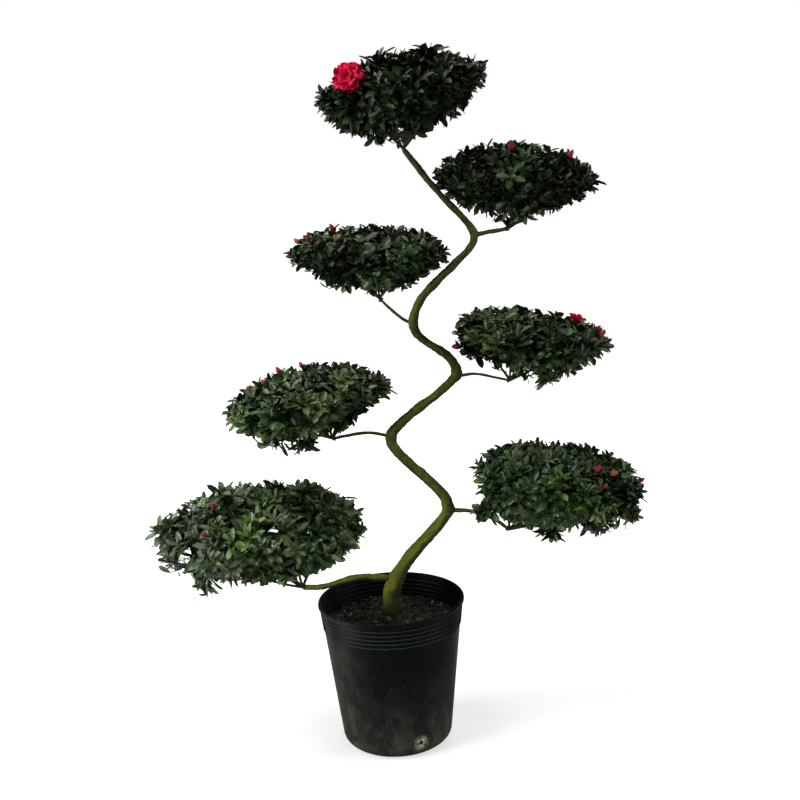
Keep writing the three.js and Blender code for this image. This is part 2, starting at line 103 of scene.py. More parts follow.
# A pad's reach is half its width and half its depth, and rise and drop are its heights over and
# under its centre. lean is in degrees. boxy and under say how boxy its upper and lower halves are.
# fine is its number of fine shoots, and tones are the shares of deep, mid, olive and young leaves;
# the large share of deep leaves in the upper pads is painted shade.
# strays are places across and up where a shoot stands out. blooms have a place, a size and between
# them a kind, or a colour if they are buds. young are the places of sprays of young leaves. pale
# is a place in x and the share of pale sprays left of it; the pale tone is painted sheen on the pad's
# lit left side. bare is how far from the foot the leaves start. gaps are where the sky shows through,
# as x, z and a radius. Places in a pad are shares of its reach, rise and drop.
PADS = [
    dict(name="pad_1_low_left", centre=(-246, -35, 465), reach=(211, 180), rise=103, drop=104, lean=0,
         boxy=1.8, under=1.35, seed=11, shoots=25, fine=430, tones=(0.08, 0.54, 0.31, 0.07),
         strays=[(-0.70, -0.84), (-0.93, -0.35), (-1.0, 0.45), (0.5, 1.1), (-0.37, 1.15), (0.85, 0.8)],
         blooms=[(-0.41, -0.38, 0.82, "red", 15), (-0.45, -0.76, 0.48, "brown", 13)],
         young=[(-0.1, -0.8, 0.35)], pale=(-270, 0.85), bare=36,
         gaps=[(-410, 424, 12), (-395, 438, 9), (-228, 477, 9)]),
    dict(name="pad_2_low_right", centre=(347, 5, 527), reach=(168, 145), rise=77, drop=105, lean=-8,
         boxy=2.6, under=1.6, seed=23, shoots=20, fine=330, tones=(0.13, 0.53, 0.26, 0.08),
         strays=[(-0.07, -1.0), (-0.99, -0.62), (0.66, -0.76), (1.0, -0.4), (1.04, 0.2)],
         blooms=[(0.36, -0.68, 0.8, "red", 17), (0.55, -0.66, 0.72, "orange", 16),
                 (0.97, -0.23, 0.37, "red", 15), (0.43, -0.88, 0.47, "red", 11)],
         young=[(-0.1, -0.85, 0.5), (0.1, -0.95, 0.1), (0.5, -0.8, -0.1)], bare=10),
    dict(name="pad_3_mid_left", centre=(-143, -15, 725), reach=(166, 147), rise=77, drop=93, lean=8,
         boxy=1.75, under=1.15, seed=37, shoots=20, fine=300, tones=(0.24, 0.38, 0.34, 0.04),
         strays=[(-0.58, -0.7), (-0.18, -0.92), (1.0, 0.3)],
         blooms=[(-0.6, -0.24, 0.71, "red", 14), (-0.29, 0.2, 0.92, "pink", 14),
                 (0.04, 0, 1.02, "red", 13), (-0.44, -0.23, 0.82, "orange", 12)],
         young=[(-0.75, -0.5, 0.2), (-0.45, -0.7, -0.2)], bare=30,
         gaps=[(-88, 696, 7), (-98, 687, 5)]),
    dict(name="pad_4_mid_right", centre=(302, -15, 827), reach=(154, 137), rise=60, drop=89, lean=-10,
         boxy=2.5, under=1.15, seed=41, shoots=20, fine=280, tones=(0.27, 0.46, 0.22, 0.05),
         strays=[(0.34, -0.9), (0.62, -0.56), (-0.86, -0.41), (-0.98, 0.48)],
         blooms=[(0.59, -0.14, 0.93, "half", 26), (0.8, -0.5, 0.57, "pink", 16),
                 (-0.98, -0.2, -0.31, "pink", 16), (0.77, -0.33, 0.73, "red", 12)], bare=30),
    dict(name="pad_5_upper_left", centre=(-3, 12, 1002), reach=(152, 137), rise=62, drop=77, lean=-3,
         boxy=2.4, under=1.3, seed=53, shoots=20, fine=280, tones=(0.72, 0.19, 0.08, 0.01),
         strays=[(0.54, -0.7), (-0.53, -0.68), (-1.06, 0.16)],
         blooms=[(-0.5, -0.19, 0.94, "red", 14), (-0.93, -0.22, 0.5, "orange", 14),
                 (-0.79, -0.44, 0.63, "red", 12), (-0.42, -0.75, 0.69, "orange", 12)],
         pale=(-75, 0.35), bare=20, gaps=[(-21, 965, 4), (9, 955, 4), (-3, 944, 3.5)]),
    dict(name="pad_6_upper_right", centre=(283, 32, 1127), reach=(161, 143), rise=83, drop=82, lean=-4,
         boxy=1.9, under=1.2, seed=67, shoots=20, fine=290, tones=(0.90, 0.08, 0.02, 0.0),
         strays=[(0.15, -0.88), (-0.7, -0.5), (1.0, 0.2)],
         blooms=[(-0.11, -0.53, 0.84, "red", 19), (0.63, -0.41, 0.67, "pink", 17)], bare=20),
    dict(name="pad_7_top", centre=(71, 0, 1301), reach=(156, 140), rise=80, drop=97, lean=9, boxy=2.15,
         under=1.35, seed=79, shoots=20, fine=300, tones=(0.92, 0.06, 0.02, 0.0),
         strays=[(1.06, 0.3), (-1.02, 0.24), (-0.5, -0.73), (0.14, -0.9), (0.52, 0.96), (-0.18, 1.08)],
         blooms=[(-0.74, -0.7, 0.76, "open", 66)], pale=(-10, 0.15), bare=14),
]
PLAN = 2.2  # how boxy every pad is as seen from above
SHOOT = dict(lowest=-0.5, inset=24, scatter=8, stem=6, first_halvings=3, fork_at=(0.38, 0.14),
             stray_depth=-0.3)
FACING = {"open": (-0.2, -0.88, 0.42), "half": (0.35, -0.25, 0.9)}  # where the blooms look
# Each kind of bloom's rings of petals: their number, length, opening angle and width.
BLOOM_RINGS = {
    "open": [(6, 0.47, 84, 1.0), (6, 0.44, 66, 0.95), (6, 0.38, 50, 0.85), (5, 0.31, 32, 0.75),
             (4, 0.23, 14, 0.6)],
    "half": [(5, 0.74, 62, 0.8), (4, 0.66, 40, 0.7), (3, 0.54, 14, 0.5)],
}

# The finer growth on that skeleton, and the whorls of leaves at its ends.
FINE = dict(lowest=-0.72, inset=(13, 20), inner_inset=(40, 26), inner_share=0.4, per_stray=6,
            stray_spread=17, up=0.72, seed=5, leaf_limit=1.07, ragged=0.06, lumpy=16, young_shoots=3,
            skirt=24, skirt_length=14, skirt_leaves=5, per_bud=2, under_bud=5)
OUTER, INNER, STRAY, SKIRT, UNDER_BUD = range(5)
WHORL = dict(spacing=1.9, first_angle=24, more_angle=58, first_size=0.62, more_size=0.42,
             skirt_size=0.7, with_spray=0.55, fresh=0.2, off_limbs=3)
SEEN_FROM = (40, -2300, 1210)  # the gaps run along the sight line from here
# Length, fold, arch and twist of the kinds of leaves.
LEAF_SHAPES = [(1.0, 0.32, 0.12, 0.1), (1.0, 0.22, 0.24, -0.15), (1.1, 0.40, 0.05, 0.05),
               (0.9, 0.16, 0.34, 0.2)]

# ------------------------------------------------------- colours without a setting, and lights

# Each leaf tone with its setting, the colour of its lighter patches, its roughness and its shine.
# The pale tone is painted sheen.
LEAF_TONES = [("deep", "deep_green", (0.014, 0.031, 0.007), 0.42, 0.32),
              ("mid", "mid_green", (0.060, 0.110, 0.040), 0.40, 0.5),
              ("olive", "olive_green", (0.102, 0.136, 0.058), 0.44, 0.5),
              ("young", "young_green", (0.11, 0.18, 0.045), 0.40, 0.5),
              ("pale", "pale_green", (0.15, 0.185, 0.125), 0.38, 0.5)]
MID, OLIVE, YOUNG, PAINTED_SHEEN = 1, 2, 3, 4
BUDS = dict(red=(0.20, 0.018, 0.030), orange=(0.32, 0.095, 0.030), pink=(0.30, 0.024, 0.060),
            brown=(0.13, 0.048, 0.022))
# The rib colour is a painted highlight along the crests of the pot's ribs.
MARKS = dict(shade=(0.004, 0.004, 0.003), petal_light=(0.72, 0.006, 0.075), specks=(0.16, 0.15, 0.13),
             rib_glint=(0.060, 0.082, 0.082), corner_dirt=(0.20, 0.175, 0.14), scuff=(0.42, 0.41, 0.34))
# The loose bits on the soil, with their colours and shares; crumbs have the soil's own colour.
BITS = [("crumb_dark", None, 0.46), ("chip_brown", (0.046, 0.034, 0.021), 0.20),
        ("chip_grey", (0.10, 0.097, 0.088), 0.22), ("chip_tan", (0.15, 0.105, 0.06), 0.09),
        ("chip_pale", (0.30, 0.29, 0.26), 0.03)]
# The lights, with their places, shares of the key light's strength, sizes and colours.
LIGHTS = [("key", (-1.3, -0.5, 3.3), 1.0, 1.9, (1.0, 0.99, 0.96)),
          ("left_side", (-2.4, -0.8, 0.7), 0.72, 1.8, (1.0, 1.0, 0.94)),
          ("right_side", (2.6, -0.8, 0.9), 0.42, 1.8, (1.0, 1.0, 0.95)),
          ("front_fill", (1.2, -3.2, 1.6), 0.05, 2.6, (1.0, 1.0, 0.96)),
          ("back_top", (0.8, 2.4, 2.8), 0.34, 2.2, (0.98, 1.0, 0.98))]
LIT_SPOT = (0, 0, 0.7)
WORLD = (0.085, 0.09, 0.08, 1)


# ------------------------------------------------------------------ settings in the sidebar

def colour_setting(name, description, default):
    return FloatVectorProperty(name=name, description=description, subtype="COLOR", default=default,
                               min=0, max=1)


def length_setting(name, description, default, least, most):
    return FloatProperty(name=name, description=description, default=default, min=least, max=most,
                         unit="LENGTH")


class PlantSettings(bpy.types.PropertyGroup):
    """Sizes and colours of the plant itself"""

    leaf_length: length_setting("Leaf length", "Length of a full-grown leaf", 0.034, 0.02, 0.08)
    leaf_width: length_setting("Leaf width", "Width of a full-grown leaf", 0.0132, 0.006, 0.03)
    leaves_per_shoot: IntProperty(name="Leaves to a shoot", description="Leaves round a shoot's end",
                                  default=9, min=4, max=14)
    twig_radius: length_setting("Twig radius", "Radius of the thinnest twigs", 0.0009, 0.0004, 0.003)
    bark_relief: length_setting("Bark relief", "How far the bark's bumps stand out", 0.0009, 0, 0.004)
    # Deep green is partly the old leaves' own colour and partly painted shade: the upper pads get mostly
    # deep leaves.
    deep_green: colour_setting("Deep green", "Colour of the oldest leaves", (0.0058, 0.0128, 0.0022))
    mid_green: colour_setting("Mid green", "Colour of most leaves", (0.0210, 0.0520, 0.0120))
    olive_green: colour_setting("Olive green", "Colour of dull leaves", (0.047, 0.073, 0.018))
    young_green: colour_setting("Young green", "Colour of young leaves", (0.078, 0.150, 0.024))
    # The pale green is painted sheen, given to leaves on the lit left side of some pads.
    pale_green: colour_setting("Pale green", "Colour of dusty leaves", (0.074, 0.106, 0.056))
    petal: colour_setting("Petal", "Colour of the petals", (0.60, 0.004, 0.050))
    # The moss colour is bright enough to paint the light on the trunk's lit side as well as the moss.
    moss: colour_setting("Moss", "Colour of the moss on the bark", (0.250, 0.280, 0.037))
    bark: colour_setting("Bark", "Colour of the bare bark", (0.034, 0.035, 0.011))


class PotSettings(bpy.types.PropertyGroup):
    """Sizes and colours of the pot and its soil"""

    rib_height: length_setting("Rib height", "How far the ribs stand out", 0.002, 0, 0.004)
    plastic: colour_setting("Plastic", "Colour of the clean plastic", (0.0016, 0.0028, 0.0040))
    # The dust colour also paints the sheen on the pot's left side.
    dust: colour_setting("Dust", "Colour of the dust on the plastic", (0.084, 0.079, 0.068))
    soil: colour_setting("Soil", "Colour of the soil", (0.015, 0.0125, 0.0085))
    chips: IntProperty(name="Chips", description="Loose bits on the soil", default=1500, min=0, max=5000)


class StageSettings(bpy.types.PropertyGroup):
    """The floor, the light and the camera"""

    floor: colour_setting("Floor", "Colour of the floor", (0.6, 0.6, 0.6))
    key: FloatProperty(name="Key light", description="Strength of the large light above",
                       default=98.0, min=0, unit="POWER")
    camera_distance: length_setting("Camera distance", "From the pot's axis", 2.3, 0.5, 10)
    camera_height: length_setting("Camera height", "Over the floor", 1.21, 0.1, 5)
    look_height: length_setting("Look at", "Height of the point the camera looks at", 0.7185, 0, 3)
    camera_side: length_setting("Camera side", "How far the camera stands to the right", 0.040, -1, 1)
    roll: FloatProperty(name="Camera roll", description="Clockwise roll of the camera",
                        default=math.radians(3.0), subtype="ANGLE")
    lens: FloatProperty(name="Lens", description="Focal length", default=53.415, min=10, max=200)


# -------------------------------------------------------------- seeded numbers and curves

def dice(seed):
    """A generator of numbers from 0 to 1, the same as in the part's source."""
    state = [seed * 7919]

    def roll():
        state[0] = (state[0] * 1664525 + 1013904223) % 4294967296
        return state[0] / 4294967296
    return roll


def unit(v):
    return v / np.linalg.norm(v, axis=-1, keepdims=True)


class Spline:
    """A smooth curve through points, walked by its length."""

    def __init__(self, points):
        p = np.array(points, float)
        self.p = np.vstack([2 * p[0] - p[1], p, 2 * p[-1] - p[-2]])
        self.spans = len(p) - 1
        t = np.linspace(0, 1, 201)
        steps = np.linalg.norm(np.diff(self._at(t), axis=0), axis=1)
        self.t, self.lengths = t, np.concatenate([[0], np.cumsum(steps)])

    def _at(self, t):
        x = np.asarray(t, float) * self.spans
        i = np.minimum(x.astype(int), self.spans - 1)
        w = (x - i)[..., None]
        a, b, c, d = (self.p[i + k] for k in range(4))
        m0, m1 = 0.5 * (c - a), 0.5 * (d - b)
        return b + m0 * w + (3 * (c - b) - 2 * m0 - m1) * w ** 2 + (2 * (b - c) + m0 + m1) * w ** 3

    def at(self, share):
        return self._at(np.interp(np.asarray(share) * self.lengths[-1], self.lengths, self.t))

    def end_direction(self):
        return unit(self._at(1.0) - self._at(0.9999))


def trunk_points():
    line = [np.array(p, float) for p in TRUNK_LINE]
    points = []
    for i, bend in enumerate(line):
        inner = 0 < i < len(line) - 1
        if not inner or (bend[0] - line[i - 1][0]) * (line[i + 1][0] - bend[0]) >= 0:
            points.append(bend)
            continue
        side = np.sign(bend[0] - line[i - 1][0])
        below, above = (bend + unit(line[k] - bend) * BEND["shoulder"] for k in (i - 1, i + 1))
        below[0] += side * BEND["out_below"]
        above[0] += side * BEND["out_above"]
        points += [below, bend, above]
    return points


TRUNK_CURVE = Spline(trunk_points())


def trunk_radius(along):
    height = along * TRUNK_CURVE.lengths[-1]
    stem = TRUNK["stem"] + (TRUNK["tip"] - TRUNK["stem"]) * along
    return stem + TRUNK["flare"] * np.exp(-height / TRUNK["flare_height"])


def bough_curve(bough):
    shares = np.linspace(0, 1, 2001)
    share = shares[np.argmax(TRUNK_CURVE.at(shares)[:, 2] >= bough["leaves"])]
    root, foot = TRUNK_CURVE.at(share), np.array(bough["foot"], float)
    between = [root + (foot - root) * BOUGH[k] + UP * lift
               for k, lift in zip(("middle", "late"), bough["lift"])]
    return Spline([root, *between, foot])


def bough_radius(bough, along):
    return bough["root"] + (bough["tip"] - bough["root"]) * along ** 0.7


def limb_spots():
    """Places along the trunk and the boughs, with their radii, that the leaves avoid."""
    along = np.linspace(0, 1, 241)
    spots, radii = [TRUNK_CURVE.at(along)], [trunk_radius(along)]
    along = np.linspace(0, 0.93, 25)
    for bough in BOUGHS:
        spots.append(bough_curve(bough).at(along))
        radii.append(np.full(len(along), bough["root"]))
    return np.vstack(spots), np.concatenate(radii)


# ------------------------------------------------------------------------------ the pads

def lean_matrix(pad):
    """Turns a pad's own axes to the plant's."""
    a = math.radians(-pad["lean"])
    return np.array([[math.cos(a), 0, math.sin(a)], [0, 1, 0], [-math.sin(a), 0, math.cos(a)]])


def in_pad(pad, shares):
    """Places in a pad, given as shares of its reach, rise or drop."""
    s = np.atleast_2d(np.asarray(shares, float))
    high = np.where(s[:, 2] > 0, pad["rise"], pad["drop"])
    own = np.column_stack([s[:, :2] * pad["reach"], s[:, 2] * high])
    return own @ lean_matrix(pad).T + pad["centre"]


def box_size(pad, shares):
    """The size of steps from a pad's centre, in its own shares: 1 on the pad's outline."""
    u, v, w = np.abs(shares).T
    power = np.where(np.asarray(shares).T[2] > 0, pad["boxy"], pad["under"])
    return ((u ** PLAN + v ** PLAN) ** (power / PLAN) + w ** power) ** (1 / power)


def outness(pad, places):
    """How far out places are, from 0 at the pad's centre to 1 on its outline."""
    own = (np.atleast_2d(places) - pad["centre"]) @ lean_matrix(pad)
    high = np.where(own[:, 2] > 0, pad["rise"], pad["drop"])
    return box_size(pad, np.column_stack([own[:, :2] / pad["reach"], own[:, 2] / high]))


def off_sight(pad, places, gap):
    """How far places are from the sight line through the middle of one of the pad's gaps."""
    spot = np.array([gap[0], pad["centre"][1], gap[1]], float)
    way = unit(spot - np.array(SEEN_FROM))
    off = places - spot
    return np.linalg.norm(off - (off @ way)[:, None] * way, axis=1)


def drawn_in(pad, places, inset):
    inward = unit(np.subtract(pad["centre"], places))
    return places + inward * np.asarray(inset, float)[..., None]


def shoots_of(pad, roll):
    """The pad's main shoots, as in the part's source."""
    shoots = []
    for i in range(pad["shoots"]):
        w = 1 - ((i + 0.5) / pad["shoots"]) * (1 - SHOOT["lowest"])
        turn = i * GOLDEN_ANGLE + roll() * 0.5
        ring = math.sqrt(1 - w * w)
        step = np.array([ring * math.cos(turn), ring * math.sin(turn), w])
        tip = in_pad(pad, step / box_size(pad, step))[0]
        shoots.append(dict(tip=tip, inset=SHOOT["inset"] + roll() * SHOOT["scatter"], kind="main"))
    for across, up in pad["strays"]:
        tip = in_pad(pad, (across, SHOOT["stray_depth"], up))[0]
        shoots.append(dict(tip=tip, inset=SHOOT["inset"], kind="stray"))
    for u, v, w, kind, size in pad["blooms"]:
        shoots.append(dict(tip=in_pad(pad, (u, v, w))[0], inset=size * 0.6, kind=kind, size=size))
    for shoot in shoots:
        shoot["end"] = drawn_in(pad, shoot["tip"], shoot["inset"])
    return shoots


def parted(shoots):
    ends = np.array([s["end"] for s in shoots])
    axis = int(np.argmax(((ends - ends.mean(0)) ** 2).sum(0)))
    ordered = sorted(shoots, key=lambda s: s["end"][axis])
    half = math.ceil(len(ordered) / 2)
    return [ordered[:half], ordered[half:]]


def groups_of(shoots, halvings):
    """Shoots halved a number of times, as far as there are enough of them."""
    if halvings == 0 or len(shoots) < 3:
        return [shoots]
    return [group for half in parted(shoots) for group in groups_of(half, halvings - 1)]


def fork(start, shoots, roll, twigs, halvings):
    """Twigs from a fork to its shoots, each of which forks again."""
    for group in parted(shoots) if len(shoots) == 2 else groups_of(shoots, halvings):
        if len(group) == 1:
            group[0]["start"] = start
            group[0]["along"] = unit(group[0]["end"] - start)
            twigs.append((start, group[0]["end"], 1))
            continue
        share = SHOOT["fork_at"][0] + SHOOT["fork_at"][1] * roll()
        end = start + (np.mean([s["end"] for s in group], axis=0) - start) * share
        twigs.append((start, end, len(group)))
        fork(end, group, roll, twigs, SHOOT["first_halvings"] - 1)


def grow_pad(pad, foot, along):
    """The pad's skeleton: its shoots, and its twigs as start, end and shoots fed."""
    roll = dice(pad["seed"])
    start = foot + along * GAP
    stem_end = start + along * SHOOT["stem"]
    shoots = shoots_of(pad, roll)
    twigs = [(start, stem_end, len(shoots))]
    fork(stem_end, shoots, roll, twigs, SHOOT["first_halvings"])
    return shoots, twigs


def fine_shoots(pad, shoots, twigs, rng):
    """Ends and axes of the finer shoots, with the place where each leaves its parent twig, the
    main shoot that it belongs to, and its kind."""
    count = pad["fine"]
    i = np.arange(count)
    w = 1 - ((i + 0.5) / count) * (1 - FINE["lowest"])
    turn = i * GOLDEN_ANGLE + rng.uniform(-0.4, 0.4, count)
    ring = np.sqrt(1 - w ** 2)
    steps = np.stack([ring * np.cos(turn), ring * np.sin(turn), w], 1)
    uneven = np.array([(noise.noise(Vector(step * 2.6) + Vector((pad["seed"], 0, 0))),
                        noise.noise(Vector(step * 5.5) + Vector((0, pad["seed"], 0)))) for step in steps])
    tips = in_pad(pad, steps / box_size(pad, steps)[:, None] * (1 + FINE["ragged"] * uneven[:, :1]))
    inset = FINE["inset"][0] + rng.uniform(0, 1, count) ** 1.5 * FINE["inset"][1]
    inset += FINE["lumpy"] * np.clip(uneven[:, 1], 0, 1)
    ends = [drawn_in(pad, tips, inset)]
    inner = rng.permutation(count)[: int(count * FINE["inner_share"])]
    deep = FINE["inner_inset"][0] + rng.uniform(0, 1, len(inner)) * FINE["inner_inset"][1]
    ends.append(drawn_in(pad, tips[inner], deep))
    strays = np.repeat([k for k, s in enumerate(shoots) if s["kind"] == "stray"], FINE["per_stray"])
    spread = rng.normal(0, FINE["stray_spread"] / 2, (len(strays), 3))
    parents = np.array([s["end"] for s in shoots])
    ends = np.vstack([*ends, parents[strays] + spread])
    kinds = np.repeat([OUTER, INNER, STRAY], [count, len(inner), len(strays)])
    nearest = np.argmin(((ends[:, None] - parents) ** 2).sum(2), axis=1)
    nearest[kinds == STRAY] = strays
    share = rng.uniform(0.45, 0.9, len(ends))[:, None]
    starts = np.array([shoots[k]["start"] for k in nearest])
    roots = starts + (parents[nearest] - starts) * share
    low = [twig for twig in twigs[1:] if twig[2] > 1]
    chosen = rng.integers(0, len(low), FINE["skirt"])
    share = rng.uniform(0.1, 1, FINE["skirt"])[:, None]
    starts, stops = (np.array([low[k][end] for k in chosen]) for end in (0, 1))
    seats = starts * (1 - share) + stops * share
    away = unit(rng.normal(0, 1, seats.shape) + UP * 0.3) * FINE["skirt_length"]
    near_seats = np.argmin(((seats[:, None] - parents) ** 2).sum(2), axis=1)
    holders = [k for k, s in enumerate(shoots) if s["kind"] in BUDS or s["kind"] == "half"]
    holders = np.array(holders * FINE["per_bud"], int)
    under = [shoots[k]["end"] - shoots[k]["along"] * FINE["under_bud"] for k in holders]
    under = np.reshape(under, (-1, 3))
    ends = np.vstack([ends, seats + away, under + rng.normal(0, 1.5, under.shape)])
    roots = np.vstack([roots, seats, under])
    kinds = np.append(kinds, np.repeat([SKIRT, UNDER_BUD], [len(seats), len(under)]))
    nearest = np.concatenate([nearest, near_seats, holders])
    out = unit(ends - pad["centre"])
    up = FINE["up"] * np.clip(out[:, 2:] + 0.85, 0.1, 1)
    axis = unit(out * (1 - up) + unit(ends - roots) * 0.35 + UP * up + rng.normal(0, 0.2, ends.shape))
    return ends, axis, roots, nearest, kinds


# --------------------------------------------------------------------- meshes from arrays

class Bits:
    """Vertices and faces gathered from many small shapes into one mesh."""

    def __init__(self):
        self.verts, self.faces, self.slots, self.uvs, self.count = [], [], [], [], 0

    def add(self, verts, faces, slot=0, uv=None):
        """faces is an array with one row to a face; slot is a number, or one to a face."""
        verts, faces = np.asarray(verts, float), np.asarray(faces, int)
        self.verts.append(verts)
        self.faces.append(faces + self.count)
        self.slots.append(np.broadcast_to(np.asarray(slot, int), len(faces)))
        self.uvs.append(np.zeros((len(verts), 2)) if uv is None else uv)
        self.count += len(verts)

    def add_closed(self, rings, ends, slot=0, flip=False):
        """A skin over rings of vertices, closed by fans to the two end points."""
        rows, columns = np.shape(rings)[:2]
        n = rows * columns
        faces = grid_faces(rows, columns, True)
        caps = [fan_faces(0, columns, n, not flip), fan_faces(n - columns, columns, n + 1, flip)]
        self.add(np.vstack([np.reshape(rings, (n, 3)), ends]), faces[:, ::-1] if flip else faces, slot)
        self.faces.append(np.vstack(caps) + self.count - n - 2)
        self.slots.append(np.full(2 * columns, slot))

    def stamp(self, template, turns, places, slots=0):
        """Copies of a template (verts, faces, uv), each turned by a 3 by 3 matrix and moved."""
        verts, faces, uv = template
        n, v = len(places), len(verts)
        spread = np.einsum("nij,vj->nvi", turns, verts) + places[:, None]
        all_faces = (faces[None] + (np.arange(n) * v)[:, None, None]).reshape(-1, faces.shape[1])
        slots = np.repeat(np.broadcast_to(slots, n), len(faces))
        self.add(spread.reshape(-1, 3), all_faces, slots, np.tile(uv, (n, 1)))

    def mesh(self, name, smooth=True):
        mesh = bpy.data.meshes.new(name)
        verts = np.vstack(self.verts) * MM
        mesh.vertices.add(len(verts))
        mesh.vertices.foreach_set("co", verts.ravel())
        corners = np.concatenate([f.ravel() for f in self.faces])
        sizes = np.concatenate([np.full(len(f), f.shape[1]) for f in self.faces])
        mesh.loops.add(len(corners))
        mesh.loops.foreach_set("vertex_index", corners)
        mesh.polygons.add(len(sizes))
        mesh.polygons.foreach_set("loop_start", np.concatenate([[0], np.cumsum(sizes)[:-1]]))
        mesh.polygons.foreach_set("material_index", np.concatenate(self.slots))
        mesh.polygons.foreach_set("use_smooth", np.full(len(sizes), smooth))
        layer = mesh.uv_layers.new(name="UVMap")
        layer.data.foreach_set("uv", np.vstack(self.uvs)[corners].ravel())
        mesh.update(calc_edges=True)
        mesh.validate()
        return mesh


def put(name, data):
    """An object of the scene with its data."""
    thing = bpy.data.objects.new(name, data)
    bpy.context.scene.collection.objects.link(thing)
    return thing


def add_piece(mesh, materials, replaces=()):
    """Puts a mesh in the scene as a piece of the plant, on the one body of the part."""
    piece = put(mesh.name, mesh)
    for material in materials:
        mesh.materials.append(material)
    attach(piece, "root")
    if replaces:
        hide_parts(*replaces)
    return piece


def grid_faces(rows, columns, closed):
    """Quads of a grid of rows by columns, closed round its columns or not."""
    r, c = np.meshgrid(np.arange(rows - 1), np.arange(columns if closed else columns - 1), indexing="ij")
    a, b = r * columns + c, r * columns + (c + 1) % columns
    return np.stack([a, b, b + columns, a + columns], -1).reshape(-1, 4)


def fan_faces(start, columns, middle, flip):
    """Triangles from a ring of vertices to one in its middle."""
    c = np.arange(columns)
    ring = np.stack([start + c, start + (c + 1) % columns, np.full(columns, middle)], 1)
    return ring[:, ::-1] if flip else ring


def rings_round(points, sides):
    """Directions round a line of points, a ring to a point, that turn as little as they can."""
    tangents = unit(np.gradient(points, axis=0))
    side = np.cross(tangents[0], UP if abs(tangents[0][2]) < 0.9 else (1.0, 0, 0))
    turn = (np.arange(sides) * 2 * np.pi / sides)[:, None]
    rings = []
    for tangent in tangents:
        side = unit(side - tangent * (side @ tangent))
        rings.append(side * np.cos(turn) + np.cross(tangent, side) * np.sin(turn))
    return np.array(rings)


def add_tube(bits, points, radii, sides, slot=0):
    """A round limb along a line of points, closed at both ends."""
    points = np.asarray(points, float)
    radii = np.broadcast_to(radii, len(points))[:, None, None]
    bits.add_closed(points[:, None] + rings_round(points, sides) * radii, points[[0, -1]], slot)


# ---------------------------------------------------------------------------- shader nodes

def rgba(colour, times=1.0):
    return (*(c * times for c in colour), 1.0)


class Tree:
    """A node tree, with short calls for the nodes that the materials share."""

    def __init__(self, tree):
        self.tree = tree

    def give(self, socket, value):
        """Sets a socket to a value, or links it to another node's output."""
        if isinstance(value, bpy.types.NodeSocket):
            self.tree.links.new(value, socket)
        else:
            socket.default_value = value

    def node(self, kind, settings=None, **inputs):
        """A node with its settings and inputs; an input goes by its name, or by i and its number."""
        node = self.tree.nodes.new("ShaderNode" + kind)
        for key, value in (settings or {}).items():
            setattr(node, key, value)
        for key, value in inputs.items():
            numbered = key[0] == "i" and key[1:].isdigit()
            self.give(node.inputs[int(key[1:]) if numbered else key.replace("_", " ")], value)
        return node

    def group(self, name, **inputs):
        return self.node("Group", {"node_tree": shared_group(name)}, **inputs).outputs

    def place(self):
        return self.node("TexCoord").outputs["Object"]

    def split(self, vector):
        return self.node("SeparateXYZ", Vector=vector).outputs

    def maths(self, operation, a, b=0.0):
        return self.node("Math", {"operation": operation}, i0=a, i1=b).outputs[0]

    def times(self, product, *factors):
        for factor in factors:
            product = self.maths("MULTIPLY", product, factor)
        return product

    def vector(self, operation, a, b=(0, 0, 0)):
        return self.node("VectorMath", {"operation": operation}, i0=a, i1=b).outputs["Value"]

    def ramp(self, factor, low, high):
        """0 below low, 1 above high, smooth between."""
        return self.node("MapRange", {"interpolation_type": "SMOOTHSTEP"}, Value=factor,
                         From_Min=low, From_Max=high).outputs[0]

    def fade(self, factor, low, high):
        """1 below low, 0 above high, smooth between."""
        return self.maths("SUBTRACT", 1.0, self.ramp(factor, low, high))

    def span(self, factor, to_low, to_high, low=0.0, high=1.0):
        """A factor from low to high stretched to another range."""
        return self.node("MapRange", Value=factor, From_Min=low, From_Max=high, To_Min=to_low,
                         To_Max=to_high).outputs[0]

    def mix(self, factor, a, b):
        return self.node("Mix", {"data_type": "RGBA"}, i0=factor, i6=a, i7=b).outputs[2]

    def noise(self, scale, detail, roughness=0.5, place=None):
        return self.node("TexNoise", Vector=self.place() if place is None else place, Scale=scale,
                         Detail=detail, Roughness=roughness).outputs["Fac"]

    def bump(self, height, strength, distance):
        return self.node("Bump", Height=height, Strength=strength, Distance=distance).outputs["Normal"]


class Group(Tree):
    """A shader node group with named inputs and outputs, built once."""

    def __init__(self, name, inputs, outputs):
        super().__init__(bpy.data.node_groups.new(name, "ShaderNodeTree"))
        face = self.tree.interface
        for label, kind, default in inputs:
            socket = face.new_socket(label, in_out="INPUT", socket_type="NodeSocket" + kind)
            socket.default_value = default
        for label, kind in outputs:
            face.new_socket(label, in_out="OUTPUT", socket_type="NodeSocket" + kind)
        self.into = self.tree.nodes.new("NodeGroupInput").outputs
        self.out = self.tree.nodes.new("NodeGroupOutput").inputs


def make_mottle_group():
    """Uneven colour: patches of a lighter and a darker tone on a base colour."""
    g = Group("mottle", [("Colour", "Color", (0.5, 0.5, 0.5, 1)), ("Light", "Color", (1, 1, 1, 1)),
                         ("Amount", "Float", 0.4), ("Scale", "Float", 60.0), ("Shade", "Float", 0.6)],
              [("Colour", "Color"), ("Mask", "Float")])
    coarse = g.noise(g.into["Scale"], 3.0, 0.6)
    fine = g.noise(g.times(g.into["Scale"], 5.3), 2.0)
    light = g.times(g.ramp(coarse, 0.45, 0.75), g.into["Amount"])
    toned = g.mix(light, g.into["Colour"], g.into["Light"])
    dark = g.times(g.ramp(fine, 0.5, 0.72), g.into["Shade"])
    g.give(g.out["Colour"], g.mix(dark, toned, rgba(MARKS["shade"])))
    g.give(g.out["Mask"], coarse)


